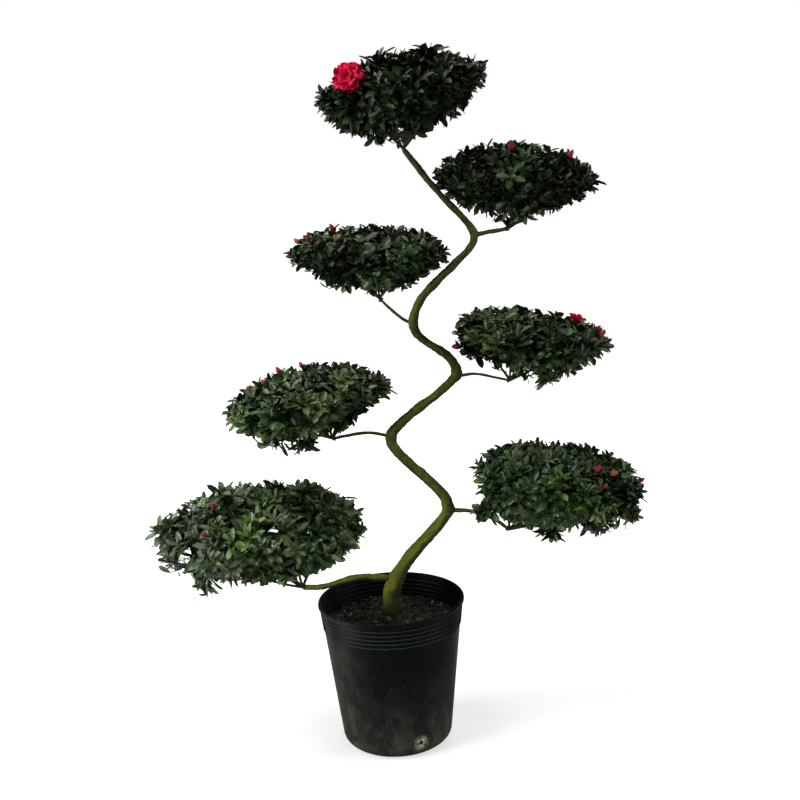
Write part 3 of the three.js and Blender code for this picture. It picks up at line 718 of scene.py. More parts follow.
def make_facing_group():
    """1 where a surface faces a direction, uneven with noise, and 0 where it faces away."""
    g = Group("facing", [("Direction", "Vector", (0, 0, 1)), ("From", "Float", 0.0),
                         ("To", "Float", 0.6), ("Uneven", "Float", 0.5), ("Scale", "Float", 40.0)],
              [("Mask", "Float")])
    faces = g.vector("DOT_PRODUCT", g.node("NewGeometry").outputs["Normal"], g.into["Direction"])
    swing = g.maths("SUBTRACT", g.noise(g.into["Scale"], 5.0), 0.5)
    faces = g.maths("ADD", faces, g.times(swing, g.into["Uneven"], 2.0))
    g.give(g.out["Mask"], g.ramp(faces, g.into["From"], g.into["To"]))


def make_specks_group():
    """A mask of small scattered spots."""
    g = Group("specks", [("Scale", "Float", 120.0), ("Size", "Float", 0.12)], [("Mask", "Float")])
    cells = g.node("TexVoronoi", {"feature": "F1"}, Vector=g.place(), Scale=g.into["Scale"]).outputs
    pick = g.node("SeparateColor", Color=cells["Color"]).outputs[0]
    near = g.maths("LESS_THAN", cells["Distance"], g.into["Size"])
    g.give(g.out["Mask"], g.times(g.maths("GREATER_THAN", pick, 0.8), near))


def shared_group(name):
    """One of the shader groups, all of them built at the first call."""
    if name not in bpy.data.node_groups:
        for make in (make_mottle_group, make_facing_group, make_specks_group):
            make()
    return bpy.data.node_groups[name]


class Material(Tree):
    """A material in the making."""

    def __init__(self, name):
        self.material = bpy.data.materials.new(name)
        self.material.use_nodes = True
        super().__init__(self.material.node_tree)

    def shade(self, **inputs):
        """Gives the shader its inputs, by name, and returns the finished material."""
        shader = self.tree.nodes["Principled BSDF"]
        for key, value in inputs.items():
            self.give(shader.inputs[key.replace("_", " ")], value)
        return self.material


def leaf_material(name, colour, light, roughness, shine):
    m = Material(name)
    mottle = m.group("mottle", Colour=rgba(colour), Light=rgba(light), Amount=0.75, Scale=38.0, Shade=0.25)
    across = m.maths("ABSOLUTE", m.split(m.node("UVMap").outputs["UV"])[0])
    rib = m.times(m.fade(across, 0.03, 0.14), 0.55)
    return m.shade(Base_Color=m.mix(rib, mottle["Colour"], rgba(light, 1.8)), Specular_IOR_Level=shine,
                   Roughness=m.span(mottle["Mask"], roughness - 0.08, roughness + 0.12, 0.3, 0.7),
                   Normal=m.bump(m.noise(420.0, 2.0), 0.35, 0.0006))


def bark_material(plant, name, mossy=1.0):
    """Bark with moss on its upper left side, less of it high up and none at the soil. The moss
    is partly real and partly painted light, on the side that faces the key light.
    """
    m = Material(name)
    base = m.group("mottle", Colour=rgba(plant.bark), Light=rgba(plant.bark, 2.1), Amount=0.7,
                   Scale=45.0, Shade=0.7)
    height = m.split(m.place())[2]
    high_moss = m.mix(m.ramp(m.noise(8.0, 1.0), 0.5, 0.64), rgba(plant.moss, 0.42), rgba(plant.moss, 0.70))
    moss = m.mix(m.ramp(height, 0.47, 0.53), rgba(plant.moss), high_moss)
    green = m.group("mottle", Colour=moss, Light=rgba(plant.moss, 0.9), Amount=0.35, Scale=110.0, Shade=0.75)
    # Painted light: the moss lies on the faces turned towards the key light, the side where the trunk is
    # lit.
    facing = m.group("facing", Direction=(-0.50, -0.25, 0.83), From=-0.15, To=0.65, Uneven=0.7, Scale=36.0)
    low = m.span(m.fade(height, 0.95, 1.25), 0.4 * mossy, mossy)
    mask = m.times(facing["Mask"], low, m.ramp(height, 0.262, 0.330))
    return m.shade(Base_Color=m.mix(mask, base["Colour"], green["Colour"]), Specular_IOR_Level=0.18,
                   Roughness=m.span(mask, 0.62, 0.9), Normal=m.bump(m.noise(260.0, 5.0, 0.7), 0.7, 0.0015))


def twig_material(plant):
    m = Material("twig")
    base = m.group("mottle", Colour=rgba(plant.bark, 0.8), Light=rgba(plant.moss, 0.3), Amount=0.6,
                   Scale=90.0, Shade=0.5)
    return m.shade(Base_Color=base["Colour"], Roughness=0.72, Specular_IOR_Level=0.2)


def petal_material(name, colour, roughness):
    """Petals, darker towards the throat as painted shade."""
    m = Material(name)
    base = m.group("mottle", Colour=rgba(colour), Light=rgba(MARKS["petal_light"]), Amount=0.4,
                   Scale=55.0, Shade=0.0)
    throat = m.fade(m.split(m.node("UVMap").outputs["UV"])[1], 0.05, 0.6)
    return m.shade(Base_Color=m.mix(throat, base["Colour"], rgba(colour, 0.55)), Roughness=roughness,
                   Specular_IOR_Level=0.14, Normal=m.bump(m.noise(300.0, 2.0), 0.3, 0.0005))


def hole_places():
    for i in range(POT["holes"]):
        a = math.radians(POT["first_hole_angle"] + i * 360 / POT["holes"])
        yield a, (POT["base"] * math.cos(a), POT["base"] * math.sin(a), POT["hole_height"])


def plastic_material(pot):
    """Black plastic: dust low down, dust and painted sheen on the left, painted glints on the
    rib crests, dirt, specks and a scuffed hole.
    """
    m = Material("pot_plastic")
    place = m.place()
    x, _, z = m.split(place)
    stretch = m.node("Mapping", Vector=place, Scale=(28.0, 28.0, 15.0)).outputs[0]
    cloud = m.ramp(m.noise(1.0, 6.0, 0.65, stretch), 0.36, 0.72)
    # On the left the dust is partly painted sheen from the left light; low down it is dust.
    dusty = m.maths("ADD", m.times(m.fade(x, -0.135, -0.03), 0.58), m.times(m.fade(z, -0.02, 0.21), 0.95))
    dusty = m.maths("ADD", 0.015, m.times(dusty, m.maths("ADD", 0.25, cloud), 0.62))
    colour = m.mix(dusty, rgba(pot.plastic), rgba(pot.dust))
    # Painted highlight: a lighter line along each rib's crest, strongest in the middle of the pot.
    phase = m.maths("DIVIDE", m.maths("SUBTRACT", z, rib_heights()[-1] * MM), POT["rib_pitch"] * MM)
    crest = m.fade(m.maths("PINGPONG", phase, 0.5), 0.03, 0.10)
    on_ribs = m.times(m.ramp(phase, -0.4, -0.3), m.fade(phase, POT["ribs"] - 0.7, POT["ribs"] - 0.6))
    middle = m.fade(m.maths("ABSOLUTE", x), 0.085, 0.125)
    colour = m.mix(m.times(crest, on_ribs, middle, 0.75), colour, rgba(MARKS["rib_glint"]))
    corner = m.times(m.fade(z, 0.01, 0.075), m.fade(x, -0.11, -0.05), cloud, 0.6)
    colour = m.mix(corner, colour, rgba(MARKS["corner_dirt"]))
    specks = m.times(m.group("specks", Scale=150.0, Size=0.16)["Mask"], 0.35)
    colour = m.mix(specks, colour, rgba(MARKS["specks"]))
    _, front_hole = next(hole_places())
    off_hole = m.vector("DISTANCE", place, [c * MM for c in front_hole])
    scuff = m.times(m.fade(off_hole, 0.003, 0.021), m.ramp(m.noise(170.0, 4.0), 0.38, 0.56))
    return m.shade(Base_Color=m.mix(scuff, colour, rgba(MARKS["scuff"])), Specular_IOR_Level=0.04,
                   Roughness=m.span(m.maths("MAXIMUM", dusty, scuff), 0.36, 0.85),
                   Normal=m.bump(m.noise(260.0, 3.0), 0.25, 0.0006))


def crumb_material(name, colour, lighter):
    m = Material(name)
    base = m.group("mottle", Colour=rgba(colour), Light=rgba(colour, lighter), Amount=0.8, Scale=110.0,
                   Shade=0.6)
    return m.shade(Base_Color=base["Colour"], Roughness=0.92,
                   Normal=m.bump(m.noise(320.0, 6.0, 0.7), 0.9, 0.003))


# ----------------------------------------------------------------------------- pot and soil

def pot_radius(z):
    low, high = POT["corner"], POT["height"] - POT["lip_height"]
    return POT["base"] + (POT["top"] - POT["base"]) * (z - low) / (high - low)


def rib_heights():
    return [POT["height"] - POT["first_rib_drop"] - i * POT["rib_pitch"] for i in range(POT["ribs"])]


def pot_profile(rib_height):
    """Outside from the flat foot up to the lip, and inside down again, as radius and height."""
    corner, lip = POT["corner"], POT["height"] - POT["lip_height"]
    line = [(0, 0), (60, 0)]
    for turn in np.linspace(0, math.pi / 2, 9):
        line.append((POT["base"] - corner * (1 - math.sin(turn)), corner * (1 - math.cos(turn))))
    line += [(pot_radius(z), z) for z in np.arange(corner + 20, 230, 20)]
    for z in np.arange(rib_heights()[-1] - 6, lip - 0.5, 0.75):
        bead = sum(math.exp(-(((z - rib) / 1.2) ** 2)) for rib in rib_heights())
        line.append((pot_radius(z) + rib_height * bead, z))
    rim, height = POT["rim"], POT["height"]
    line += [(POT["top"] + 0.2, lip), (rim - 1.4, lip + 0.5), (rim - 0.3, lip + 1.8), (rim, lip + 4),
             (rim - 0.3, height - 2.2), (rim - 1.3, height - 0.6), (rim - 2.6, height),
             (rim - POT["lip_depth"], height - 0.7)]
    line += [(pot_radius(z) - POT["wall"], z) for z in (lip - 3, 270, 240, 120, corner)]
    for turn in np.linspace(math.pi / 2, 0, 6)[1:]:
        inside = corner - POT["wall"]
        line.append((POT["base"] - POT["wall"] - inside * (1 - math.sin(turn)),
                     POT["wall"] + inside * (1 - math.cos(turn))))
    return np.array(line + [(0, POT["wall"])], float)


def lathe(bits, profile):
    """A profile of radius and height turned round the Z axis, slightly out of round."""
    turn = np.arange(POT["sides"]) * 2 * np.pi / POT["sides"]
    radius, height = profile[1:-1, :1], profile[1:-1, 1:]
    oval = np.sin(turn * 2 + 0.6) + 0.5 * np.sin(turn * 3 + 2.0)
    radius = radius * (1 + POT["out_of_round"] * oval * np.clip(height / POT["height"], 0, 1) ** 2)
    rings = [radius * np.cos(turn), radius * np.sin(turn), np.broadcast_to(height, radius.shape)]
    bits.add_closed(np.stack(rings, -1), [(0, 0, profile[0][1]), (0, 0, profile[-1][1])])


def cut_holes(piece):
    """Cuts the drainage holes through the pot's wall."""
    cutters = Bits()
    for angle, spot in hole_places():
        outward = np.array([math.cos(angle), math.sin(angle), 0])
        line = np.array(spot) + outward * np.linspace(-14, 12, 3)[:, None]
        add_tube(cutters, line, POT["hole_radius"], 16)
    tool = put("hole_cutters", cutters.mesh("hole_cutters"))
    cut = piece.modifiers.new("holes", "BOOLEAN")
    cut.object, cut.operation, cut.solver = tool, "DIFFERENCE", "EXACT"
    graph = bpy.context.evaluated_depsgraph_get()
    mesh = bpy.data.meshes.new_from_object(piece.evaluated_get(graph))
    piece.modifiers.clear()
    piece.data = mesh
    bpy.data.objects.remove(tool)
    mesh.polygons.foreach_set("use_smooth", np.full(len(mesh.polygons), True))
    mesh.set_sharp_from_angle(angle=math.radians(38))


def soil_height(x, y):
    """The height of the soil at a place, lumpy and heaped towards the trunk."""
    r = math.hypot(x, y)
    heap = np.interp(r, [0, SOIL["mound_flat"], SOIL["mound_radius"], 128, 136],
                     [SOIL["mound"], SOIL["mound"], 2.5, 0.0, -2.0])
    lumps = 3.2 * noise.fractal(Vector((x, y, 3.0)) * 0.035, 0.8, 2.1, 5)
    crumbs = 1.1 * noise.fractal(Vector((x, y, 9.0)) * 0.16, 0.9, 2.0, 4)
    return SOIL["top"] + heap + lumps + crumbs


def soil_surface(bits):
    """The soil's uneven top, its side just inside the pot's wall and its underside."""
    off_wall = POT["wall"] + GAP
    foot = POT["base"] - off_wall
    edge = pot_radius(SOIL["top"]) - off_wall
    rings = [(edge * i / SOIL["rings"], None) for i in range(1, SOIL["rings"] + 1)]
    rings += [(pot_radius(60) - off_wall, 60), (foot, POT["corner"]), (foot - 14, 6), (foot - 22, off_wall)]
    turns = [2 * math.pi * k / SOIL["sides"] for k in range(SOIL["sides"])]
    verts = []
    for r, z in rings:
        round_it = [(r * math.cos(a), r * math.sin(a)) for a in turns]
        verts.append([(*spot, soil_height(*spot) if z is None else z) for spot in round_it])
    bits.add_closed(verts, [(0, 0, soil_height(0, 0)), (0, 0, off_wall)], flip=True)


def lump_template(rng, flat):
    """An uneven little stone or chip, as verts, faces and uv."""
    g = (1 + math.sqrt(5)) / 2
    v = unit(np.array([(-1, g, 0), (1, g, 0), (-1, -g, 0), (1, -g, 0), (0, -1, g), (0, 1, g), (0, -1, -g),
                       (0, 1, -g), (g, 0, -1), (g, 0, 1), (-g, 0, -1), (-g, 0, 1)], float))
    f = np.array([(0, 11, 5), (0, 5, 1), (0, 1, 7), (0, 7, 10), (0, 10, 11), (1, 5, 9), (5, 11, 4),
                  (11, 10, 2), (10, 7, 6), (7, 1, 8), (3, 9, 4), (3, 4, 2), (3, 2, 6), (3, 6, 8),
                  (3, 8, 9), (4, 9, 5), (2, 4, 11), (6, 2, 10), (8, 6, 7), (9, 8, 1)])
    v = v * rng.uniform(0.65, 1.15, (12, 1)) * np.array([1, 0.75, flat])
    return v, f, np.zeros((12, 2))


def random_turns(rng, count, tilt):
    """Random 3 by 3 turns that tip no more than about tilt from upright."""
    spin = rng.uniform(0, 2 * np.pi, count)
    axis = np.stack([rng.normal(0, tilt, count), rng.normal(0, tilt, count), np.ones(count)], 1)
    z = unit(axis)
    x = unit(np.cross(np.stack([np.cos(spin), np.sin(spin), np.zeros(count)], 1), z))
    return np.stack([x, np.cross(z, x), z], 2)


def add_chips(bits, count, rng):
    """Crumbs and chips scattered on the soil, clear of the trunk."""
    r = CHIPS["reach"] * np.sqrt(rng.uniform(0.02, 1, count))
    a = rng.uniform(0, 2 * np.pi, count)
    x, y = r * np.cos(a), r * np.sin(a)
    keep = np.hypot(x - TRUNK_LINE[0][0], y - TRUNK_LINE[0][1]) > CHIPS["off_trunk"]
    size = CHIPS["least"] + CHIPS["more"] * rng.uniform(0, 1, count) ** 3
    z = np.array([soil_height(*p) for p in zip(x, y)]) + size * CHIPS["lift"]
    kind = rng.choice(len(BITS), count, p=[share for _, _, share in BITS])
    turns = random_turns(rng, count, 0.6) * size[:, None, None]
    places = np.stack([x, y, z], 1)
    for k in range(CHIPS["shapes"]):
        pick = keep & (np.arange(count) % CHIPS["shapes"] == k)
        bits.stamp(lump_template(rng, rng.uniform(0.35, 0.9)), turns[pick], places[pick], kind[pick])


def add_fibres(bits, rng):
    """Short bent fibres that lie on the soil."""
    for _ in range(FIBRES["count"]):
        spread, way = rng.uniform(20, 128), rng.uniform(0, 2 * np.pi)
        heading, bend = rng.uniform(0, 2 * np.pi), rng.normal(0, 0.05)
        spot = np.array([spread * math.cos(way), spread * math.sin(way)])
        line = []
        for _ in range(FIBRES["steps"]):
            line.append((*spot, soil_height(*spot) + FIBRES["lift"]))
            spot = spot + FIBRES["step"] * np.array([math.cos(heading), math.sin(heading)])
            heading += bend + rng.normal(0, 0.3)
            if np.hypot(*spot) > SOIL["edge"]:
                break
        if len(line) > 3:
            add_tube(bits, line, rng.uniform(0.35, 0.7), 4, int(rng.choice([1, 3])))


# -------------------------------------------------------------------------- trunk and boughs

def limb_skin(bits, curve, radius_at, rings, sides, relief, seed, swellings=()):
    """A limb with bark relief: ripples, knots and swellings given as place, reach and size."""
    shares = np.linspace(0, 1, rings)
    points = curve.at(shares)
    ways = rings_round(points, sides)
    radii = np.repeat(radius_at(shares)[:, None], sides, axis=1)
    spots = points[:, None] + ways * radii[..., None]
    ripples = np.zeros_like(radii)
    for i, k in np.ndindex(radii.shape):
        at = Vector(spots[i, k] + UP * seed * 37.0)
        lump = noise.noise(at * 0.035) * 2.2 + noise.fractal(at * 0.13, 0.7, 2.2, 4)
        ridge = abs(noise.noise(Vector((at.x, at.y, at.z * 0.35)) * 0.3)) * 0.9
        ripples[i, k] = relief * (lump + ridge - 0.4)
    radii = radii + ripples * np.minimum(1.0, radii / 8)
    for place, reach, size in swellings:
        radii += size * np.exp(-((spots - place) ** 2).sum(2) / reach ** 2)
    bits.add_closed(points[:, None] + ways * radii[..., None], points[[0, -1]])


def trunk_swellings():
    """Collars round the boughs' roots and knots at the bends, as place, reach and size."""
    swellings = []
    for bough in BOUGHS:
        curve = bough_curve(bough)
        way = unit(curve.at(0.2) - curve.at(0.0))
        off_root = np.linalg.norm(curve.at(np.linspace(0, 1, 101)) - curve.at(0.0), axis=1)
        share = np.argmax(off_root > 12) / 100
        swellings.append((curve.at(share) + way * 2, 13 if bough["root"] < 7 else 20, 2.6))
    for x, y, z in TRUNK_LINE[3:9]:
        swellings.append((np.array([x, y, z], float), 26, 1.1))
    return swellings


# ------------------------------------------------------------------------ leaves and blossom

def leaf_template(length, width, fold, arch, twist):
    """A leaf from its stalk at the origin along +Y, its upper face up, in two halves."""
    along = np.array([0, 0.24, 0.56, 0.85, 1.0])
    half = np.array([0.10, 0.62, 1.0, 0.76, 0.12]) * width / 2
    verts, uv = [], []
    for side in (-1, 1):
        for t, h in zip(along, half):
            for x in (0.0, side * h):
                lean = twist * (t - 0.3)
                z = abs(x) * fold - arch * length * t ** 2 + x * lean
                verts.append((x, length * t * (1 - 0.25 * arch * t), z))
                uv.append((0.0 if x == 0 else 1.0, t))
    n = len(along)
    faces = []
    for s in (0, 1):
        for i in range(n - 1):
            a = s * n * 2 + i * 2
            quad = (a, a + 1, a + 3, a + 2)
            faces.append(quad if s else quad[::-1])
    return np.array(verts), np.array(faces), np.array(uv)


def leaf_frames(axis, turn, open_angle, twist):
    """Turns for leaves that stand round an axis: their side, their length and their upper face."""
    helper = np.where(np.abs(axis[:, 2:3]) < 0.9, UP[None], np.array([[1.0, 0, 0]]))
    u = unit(np.cross(axis, helper))
    v = np.cross(axis, u)
    radial = u * np.cos(turn)[:, None] + v * np.sin(turn)[:, None]
    c, s = np.cos(open_angle)[:, None], np.sin(open_angle)[:, None]
    along = axis * c + radial * s
    face = axis * s - radial * c
    side = np.cross(along, face)
    ct, st = np.cos(twist)[:, None], np.sin(twist)[:, None]
    return np.stack([side * ct + face * st, along, face * ct - side * st], 2)


def add_leaves(bits, pad, foot, shoots, fine, plant, rng, spots):
    """Whorls of leaves at the ends of the fine shoots, coloured by spray."""
    ends, axis, _, nearest, kinds = fine
    per = plant.leaves_per_shoot
    n = len(ends)
    order = np.tile(np.arange(per), n)
    which = np.repeat(np.arange(n), per)
    turn = np.repeat(rng.uniform(0, 2 * np.pi, n), per) + order * GOLDEN_ANGLE + rng.normal(0, 0.12, n * per)
    age = order / (per - 1)
    open_angle = WHORL["first_angle"] + WHORL["more_angle"] * age ** 0.8
    open_angle = np.radians(open_angle + rng.normal(0, 7, n * per))
    size = WHORL["first_size"] + WHORL["more_size"] * np.minimum(1, age * 1.6)
    size = size * rng.uniform(0.86, 1.12, n * per)
    inner, skirt = kinds[which] == INNER, kinds[which] >= SKIRT
    size = np.where(skirt, size * WHORL["skirt_size"], size)
    open_angle = np.where(inner, open_angle + 0.25, open_angle)
    seat = ends[which] - axis[which] * (order * WHORL["spacing"])[:, None]
    turns = leaf_frames(axis[which], turn, open_angle, rng.normal(0, 0.3, n * per))
    turns = turns * size[:, None, None]
    long_leaf, wide_leaf = plant.leaf_length / MM, plant.leaf_width / MM
    tips = seat + turns[:, :, 1] * long_leaf
    mids = seat + turns[:, :, 1] * long_leaf * 0.5
    limit = np.array([max(FINE["leaf_limit"], outness(pad, s["tip"])[0] + 0.05) for s in shoots])
    limit = np.where(np.isin(kinds, (STRAY, UNDER_BUD)), limit[nearest], FINE["leaf_limit"])[which]
    keep = outness(pad, tips) < limit
    keep &= np.linalg.norm(seat - foot, axis=1) > pad["bare"]
    keep &= ~skirt | (order < FINE["skirt_leaves"])
    for gap in pad.get("gaps", ()):
        for place in (seat, mids, tips):
            keep &= off_sight(pad, place, gap) > gap[2]
    where, radii = spots
    for place in (tips, mids):
        room = np.linalg.norm(place[:, None] - where, axis=2) - radii
        keep &= room.min(1) > WHORL["off_limbs"]
    shares = np.divide(pad["tones"], np.sum(pad["tones"]))
    spray_tone = rng.choice(len(shares), len(shoots), p=shares)
    own_tone = rng.choice(len(shares), n, p=shares)
    tone = np.where(rng.uniform(0, 1, n) < WHORL["with_spray"], spray_tone[nearest], own_tone)
    # Painted sheen: a share of the sprays left of the pale place get the pale tone.
    pale_from, pale_share = pad.get("pale", (0, 0))
    tone[(ends[:, 0] < pale_from) & (rng.uniform(0, 1, n) < pale_share)] = PAINTED_SHEEN
    outer = np.flatnonzero(kinds == OUTER)
    for spot in pad.get("young", ()):
        away = np.linalg.norm(ends[outer] - in_pad(pad, spot)[0], axis=1)
        tone[outer[np.argsort(away)[:FINE["young_shoots"]]]] = YOUNG
    tone[(kinds == INNER) & (tone == YOUNG)] = MID
    tone = tone[which]
    fresh = (age < 0.2) & (rng.uniform(0, 1, n * per) < WHORL["fresh"]) & ~inner
    tone = np.where(fresh & (tone >= MID), YOUNG, tone)
    shape = rng.integers(0, len(LEAF_SHAPES), n * per)
    for k, (long, fold, arch, twist) in enumerate(LEAF_SHAPES):
        pick = keep & (shape == k)
        template = leaf_template(long_leaf * long, wide_leaf, fold, arch, twist)
        bits.stamp(template, turns[pick], seat[pick], tone[pick])


def add_twigs(bits, pad, twigs, fine, plant, rng):
    """The skeleton's twigs, a little bowed, and the fine shoots that leave them."""
    thin = plant.twig_radius / MM
    for start, end, feeds in twigs:
        length = np.linalg.norm(end - start)
        t = np.linspace(0, 1, 5)[:, None]
        bow = rng.normal(0, 0.05, 3) * length
        line = start + (end - start) * t + bow * (t * (1 - t) * 2)
        wide = thin * 1.5 * feeds ** 0.45
        narrow = max(thin, wide * (0.72 if feeds > 1 else 0.6))
        add_tube(bits, line, np.linspace(wide, narrow, 5), 6 if feeds > 2 else 5)
    ends, axis, roots, _, _ = fine
    for end, way, root in zip(ends, axis, roots):
        if any(off_sight(pad, end[None], gap) < gap[2] for gap in pad.get("gaps", ())):
            continue
        t = np.linspace(0, 1, 4)[:, None]
        back = end - way * np.linalg.norm(end - root) * 0.45
        line = root * (1 - t) ** 2 + back * 2 * t * (1 - t) + end * t ** 2
        add_tube(bits, line, np.linspace(thin * 1.25, thin * 0.8, 4), 4)


def petal_template(length, width, cup, ruffle, phase):
    """A petal from its claw at the origin along +Y, cupped and ruffled at its rim."""
    rows, columns = 8, 9
    v, u = np.meshgrid(np.linspace(0, 1, rows), np.linspace(-1, 1, columns), indexing="ij")
    wide = width / 2 * np.interp(v, [0, 0.2, 0.5, 0.75, 0.92, 1], [0.18, 0.5, 0.9, 1.0, 0.8, 0.45])
    rim = (0.35 * np.abs(u) + 0.65) * v ** 2
    wave = ruffle * rim * (np.sin(u * 5.2 + phase) + 0.6 * np.sin(u * 9.1 + v * 4 + phase * 2.3))
    y = length * v * (1 + 0.05 * np.sin(u * 6 + phase) * v)
    z = cup * length * (0.55 * u ** 2 * v + 0.35 * np.sin(v * math.pi) - 0.45 * v ** 3) + wave
    verts = np.stack([u * wide, y, z], -1).reshape(-1, 3)
    uv = np.stack([u, v], -1).reshape(-1, 2)
    return verts, grid_faces(rows, columns, False), uv


def add_bloom(bits, place, axis, size, kind, rng):
    """An open or half-open double bloom: rings of petals, each with its opening angle."""
    for count, length, opening, width in BLOOM_RINGS[kind]:
        start = rng.uniform(0, 2 * np.pi)
        for i in range(count):
            long = size * length * rng.uniform(0.92, 1.08)
            template = petal_template(long, long * width * 1.15, 0.28, size * 0.028, rng.uniform(0, 6))
            turn = np.array([start + i * 2 * np.pi / count + rng.normal(0, 0.08)])
            angle = np.array([math.radians(opening + rng.normal(0, 5))])
            frame = leaf_frames(axis[None], turn, angle, rng.normal(0, 0.18, 1))
            bits.stamp(template, frame, (place + axis * size * 0.02)[None])


def add_bud(bits, place, axis, size, slot, rng):
    """A pointed bud of rolled petals, held by small scales in the last slot."""
    rows, columns = 12, 18
    v = np.linspace(0, 1, rows)[:, None]
    a = np.linspace(0, 2 * np.pi, columns, endpoint=False)[None]
    girth = size * 0.34 * np.interp(v, [0, 0.12, 0.35, 0.6, 0.85, 1], [0.35, 0.8, 1.0, 0.85, 0.42, 0.03])
    girth = girth * (1 + 0.07 * np.cos(3 * (a + 2.6 * v)) + 0.03 * np.cos(7 * a + 5 * v))
    height = np.broadcast_to(v * size * 1.15, girth.shape)
    own = np.stack([girth * np.cos(a), height, girth * np.sin(a)], -1).reshape(-1, 3)
    frame = leaf_frames(axis[None], np.zeros(1), np.zeros(1), np.array([rng.uniform(0, 6)]))[0]
    uv = np.stack([np.broadcast_to(a, girth.shape), np.broadcast_to(0.3 + 0.7 * v, girth.shape)], -1)
    bits.add(own @ frame.T + place, grid_faces(rows, columns, True)[:, ::-1], slot, uv.reshape(-1, 2))
    count = 5
    scale = leaf_template(size * 0.7, size * 0.42, 0.7, -0.2, 0.0)
    turn = np.arange(count) * 2 * np.pi / count
    frames = leaf_frames(np.repeat(axis[None], count, 0), turn, np.full(count, 0.42), np.zeros(count))
    bits.stamp(scale, frames, np.repeat((place - axis * size * 0.08)[None], count, 0), len(BUDS) + 1)


# -------------------------------------------------------------------------------- operators

class AZALEA_OT_pot(bpy.types.Operator):
    """Make the nursery pot with its ribs, lip and drainage holes"""

    bl_idname = "azalea.pot"
    bl_label = "Pot"

    def execute(self, context):
        pot = context.scene.azalea_pot
        bits = Bits()
        lathe(bits, pot_profile(pot.rib_height / MM))
        cut_holes(add_piece(bits.mesh("nursery_pot"), [plastic_material(pot)], ["pot"]))
        return {"FINISHED"}


class AZALEA_OT_soil(bpy.types.Operator):
    """Fill the pot with lumpy soil, chips and fibres"""

    bl_idname = "azalea.soil"
    bl_label = "Soil"

    def execute(self, context):
        pot = context.scene.azalea_pot
        bits = Bits()
        soil_surface(bits)
        add_piece(bits.mesh("soil_surface"), [crumb_material("soil", pot.soil, 2.6)], ["soil"])
        rng = np.random.default_rng(17)
        bits = Bits()
        add_chips(bits, pot.chips, rng)
        add_fibres(bits, rng)
        materials = [crumb_material(name, colour or pot.soil, 1.7) for name, colour, _ in BITS]
        add_piece(bits.mesh("soil_chips", smooth=False), materials)
        return {"FINISHED"}


class AZALEA_OT_limbs(bpy.types.Operator):
    """Grow the winding trunk and its boughs with bark relief"""

    bl_idname = "azalea.limbs"
    bl_label = "Trunk and boughs"

    def execute(self, context):
        plant = context.scene.azalea_plant
        relief = plant.bark_relief / MM
        bark, thin_bark = bark_material(plant, "bark"), bark_material(plant, "bark_thin", 0.5)
        bits = Bits()
        limb_skin(bits, TRUNK_CURVE, trunk_radius, BARK["trunk_rings"], BARK["trunk_sides"], relief, 1,
                  trunk_swellings())
        add_piece(bits.mesh("trunk_bark"), [bark], ["trunk"])
        for i, bough in enumerate(BOUGHS):
            bits = Bits()
            limb_skin(bits, bough_curve(bough), lambda s: bough_radius(bough, s), BARK["bough_rings"],
                      BARK["bough_sides"], relief, i + 2)
            mesh = bits.mesh(bough["name"].replace("bough", "bark"))
            add_piece(mesh, [thin_bark if i else bark], [bough["name"]])
        return {"FINISHED"}


class AZALEA_OT_foliage(bpy.types.Operator):
    """Grow the twigs, leaves and blossom of every pad"""

    bl_idname = "azalea.foliage"
    bl_label = "Foliage and blossom"

    def execute(self, context):
        plant = context.scene.azalea_plant
        tones = [leaf_material("leaf_" + name, getattr(plant, setting), *look)
                 for name, setting, *look in LEAF_TONES]
        twig = twig_material(plant)
        buds = [petal_material("bud_" + name, colour, 0.6) for name, colour in BUDS.items()]
        blossoms = [petal_material("petal", plant.petal, 0.75), *buds, tones[OLIVE]]
        spots = limb_spots()
        carriers = [bough_curve(bough) for bough in BOUGHS] + [TRUNK_CURVE]
        for pad, carrier in zip(PADS, carriers):
            shoots, twigs = grow_pad(pad, carrier.at(1.0), carrier.end_direction())
            rng = np.random.default_rng(pad["seed"] * 100 + FINE["seed"])
            fine = fine_shoots(pad, shoots, twigs, rng)
            wood, leaves, blossom = Bits(), Bits(), Bits()
            add_twigs(wood, pad, twigs, fine, plant, rng)
            add_leaves(leaves, pad, carrier.at(1.0), shoots, fine, plant, rng, spots)
            add_piece(leaves.mesh(pad["name"].replace("pad", "leaves")), tones, [pad["name"]])
            add_piece(wood.mesh(pad["name"].replace("pad", "twigs")), [twig])
            for shoot in shoots:
                if shoot["kind"] in FACING:
                    facing = unit(np.array(FACING[shoot["kind"]]))
                    add_bloom(blossom, shoot["end"], facing, shoot["size"], shoot["kind"], rng)
                elif shoot["kind"] in BUDS:
                    slot = list(BUDS).index(shoot["kind"]) + 1
                    add_bud(blossom, shoot["end"], shoot["along"], shoot["size"], slot, rng)
            add_piece(blossom.mesh(pad["name"].replace("pad", "blossom")), blossoms)
        return {"FINISHED"}


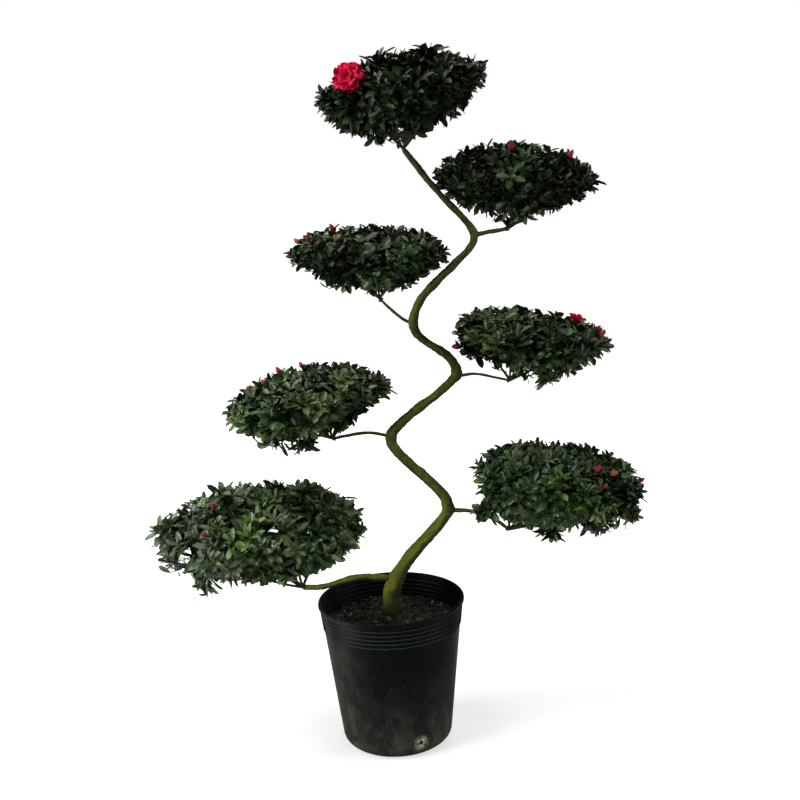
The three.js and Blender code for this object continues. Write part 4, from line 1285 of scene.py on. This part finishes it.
class AZALEA_OT_stage(bpy.types.Operator):
    """Lay a pale floor and set the soft light and the camera"""

    bl_idname = "azalea.stage"
    bl_label = "Stage"

    def execute(self, context):
        scene, stage = context.scene, context.scene.azalea_stage
        bits = Bits()
        bits.add(np.array([(-1, -1, 0), (1, -1, 0), (1, 1, 0), (-1, 1, 0)], float) * 40000, [(0, 1, 2, 3)])
        floor = put("floor", bits.mesh("floor"))
        m = Material("floor")
        base = m.group("mottle", Colour=rgba(stage.floor), Light=rgba(stage.floor, 1.03), Amount=0.5,
                       Scale=2.0, Shade=0.0)["Colour"]
        far = m.ramp(m.vector("LENGTH", m.place()), 0.2, 2.6)
        glow = m.mix(far, (0.6, 0.6, 0.6, 1), (1.1, 1.1, 1.1, 1))
        seen = m.node("LightPath").outputs["Is Camera Ray"]
        floor.data.materials.append(m.shade(
            Base_Color=base, Roughness=0.9, Emission_Color=m.mix(seen, (0, 0, 0, 1), glow),
            Emission_Strength=1.0))
        for name, place, share, size, colour in LIGHTS:
            data = bpy.data.lights.new(name, "AREA")
            data.energy, data.size, data.color = stage.key * share, size, colour
            light = put(name, data)
            light.location = place
            light.rotation_euler = (Vector(LIT_SPOT) - light.location).to_track_quat("-Z", "Y").to_euler()
        world = bpy.data.worlds.new("studio")
        world.use_nodes = True
        w = Tree(world.node_tree)
        seen = w.node("LightPath").outputs["Is Camera Ray"]
        w.give(world.node_tree.nodes["Background"].inputs["Color"], w.mix(seen, WORLD, (1, 1, 1, 1)))
        scene.world = world
        scene.view_settings.view_transform = "Standard"
        data = bpy.data.cameras.new("camera")
        data.lens, data.sensor_width = stage.lens, 36.0
        camera = put("camera", data)
        place = np.array([stage.camera_side, -stage.camera_distance, stage.camera_height])
        forward = unit(np.array([stage.camera_side, 0, stage.look_height]) - place)
        right = unit(np.cross(forward, UP))
        above = np.cross(right, forward)
        c, s = math.cos(stage.roll), math.sin(stage.roll)
        axes = np.stack([c * right - s * above, s * right + c * above, -forward], 1)
        camera.matrix_world = Matrix.Translation(place) @ Matrix(axes.tolist()).to_4x4()
        scene.camera = camera
        return {"FINISHED"}


class AZALEA_PT_panel(bpy.types.Panel):
    """Lists the pieces of the plant and its settings"""

    bl_label = "Azalea cloud tree"
    bl_idname = "AZALEA_PT_panel"
    bl_space_type = "VIEW_3D"
    bl_region_type = "UI"
    bl_category = "Azalea"

    def draw(self, context):
        for operator in OPERATORS:
            self.layout.operator(operator.bl_idname)
        for settings in (context.scene.azalea_plant, context.scene.azalea_pot, context.scene.azalea_stage):
            for name in settings.bl_rna.properties.keys():
                if name not in ("rna_type", "name"):
                    self.layout.prop(settings, name)


OPERATORS = (AZALEA_OT_pot, AZALEA_OT_soil, AZALEA_OT_limbs, AZALEA_OT_foliage, AZALEA_OT_stage)
SETTINGS = {"azalea_plant": PlantSettings, "azalea_pot": PotSettings, "azalea_stage": StageSettings}


def register():
    for cls in (*SETTINGS.values(), *OPERATORS, AZALEA_PT_panel):
        bpy.utils.register_class(cls)
    for name, cls in SETTINGS.items():
        setattr(bpy.types.Scene, name, PointerProperty(type=cls))


def unregister():
    for name in SETTINGS:
        delattr(bpy.types.Scene, name)
    for cls in reversed((*SETTINGS.values(), *OPERATORS, AZALEA_PT_panel)):
        bpy.utils.unregister_class(cls)


def main():
    register()
    bpy.ops.azalea.pot()
    bpy.ops.azalea.soil()
    bpy.ops.azalea.limbs()
    bpy.ops.azalea.foliage()
    bpy.ops.azalea.stage()


if __name__ == "__main__":
    main()
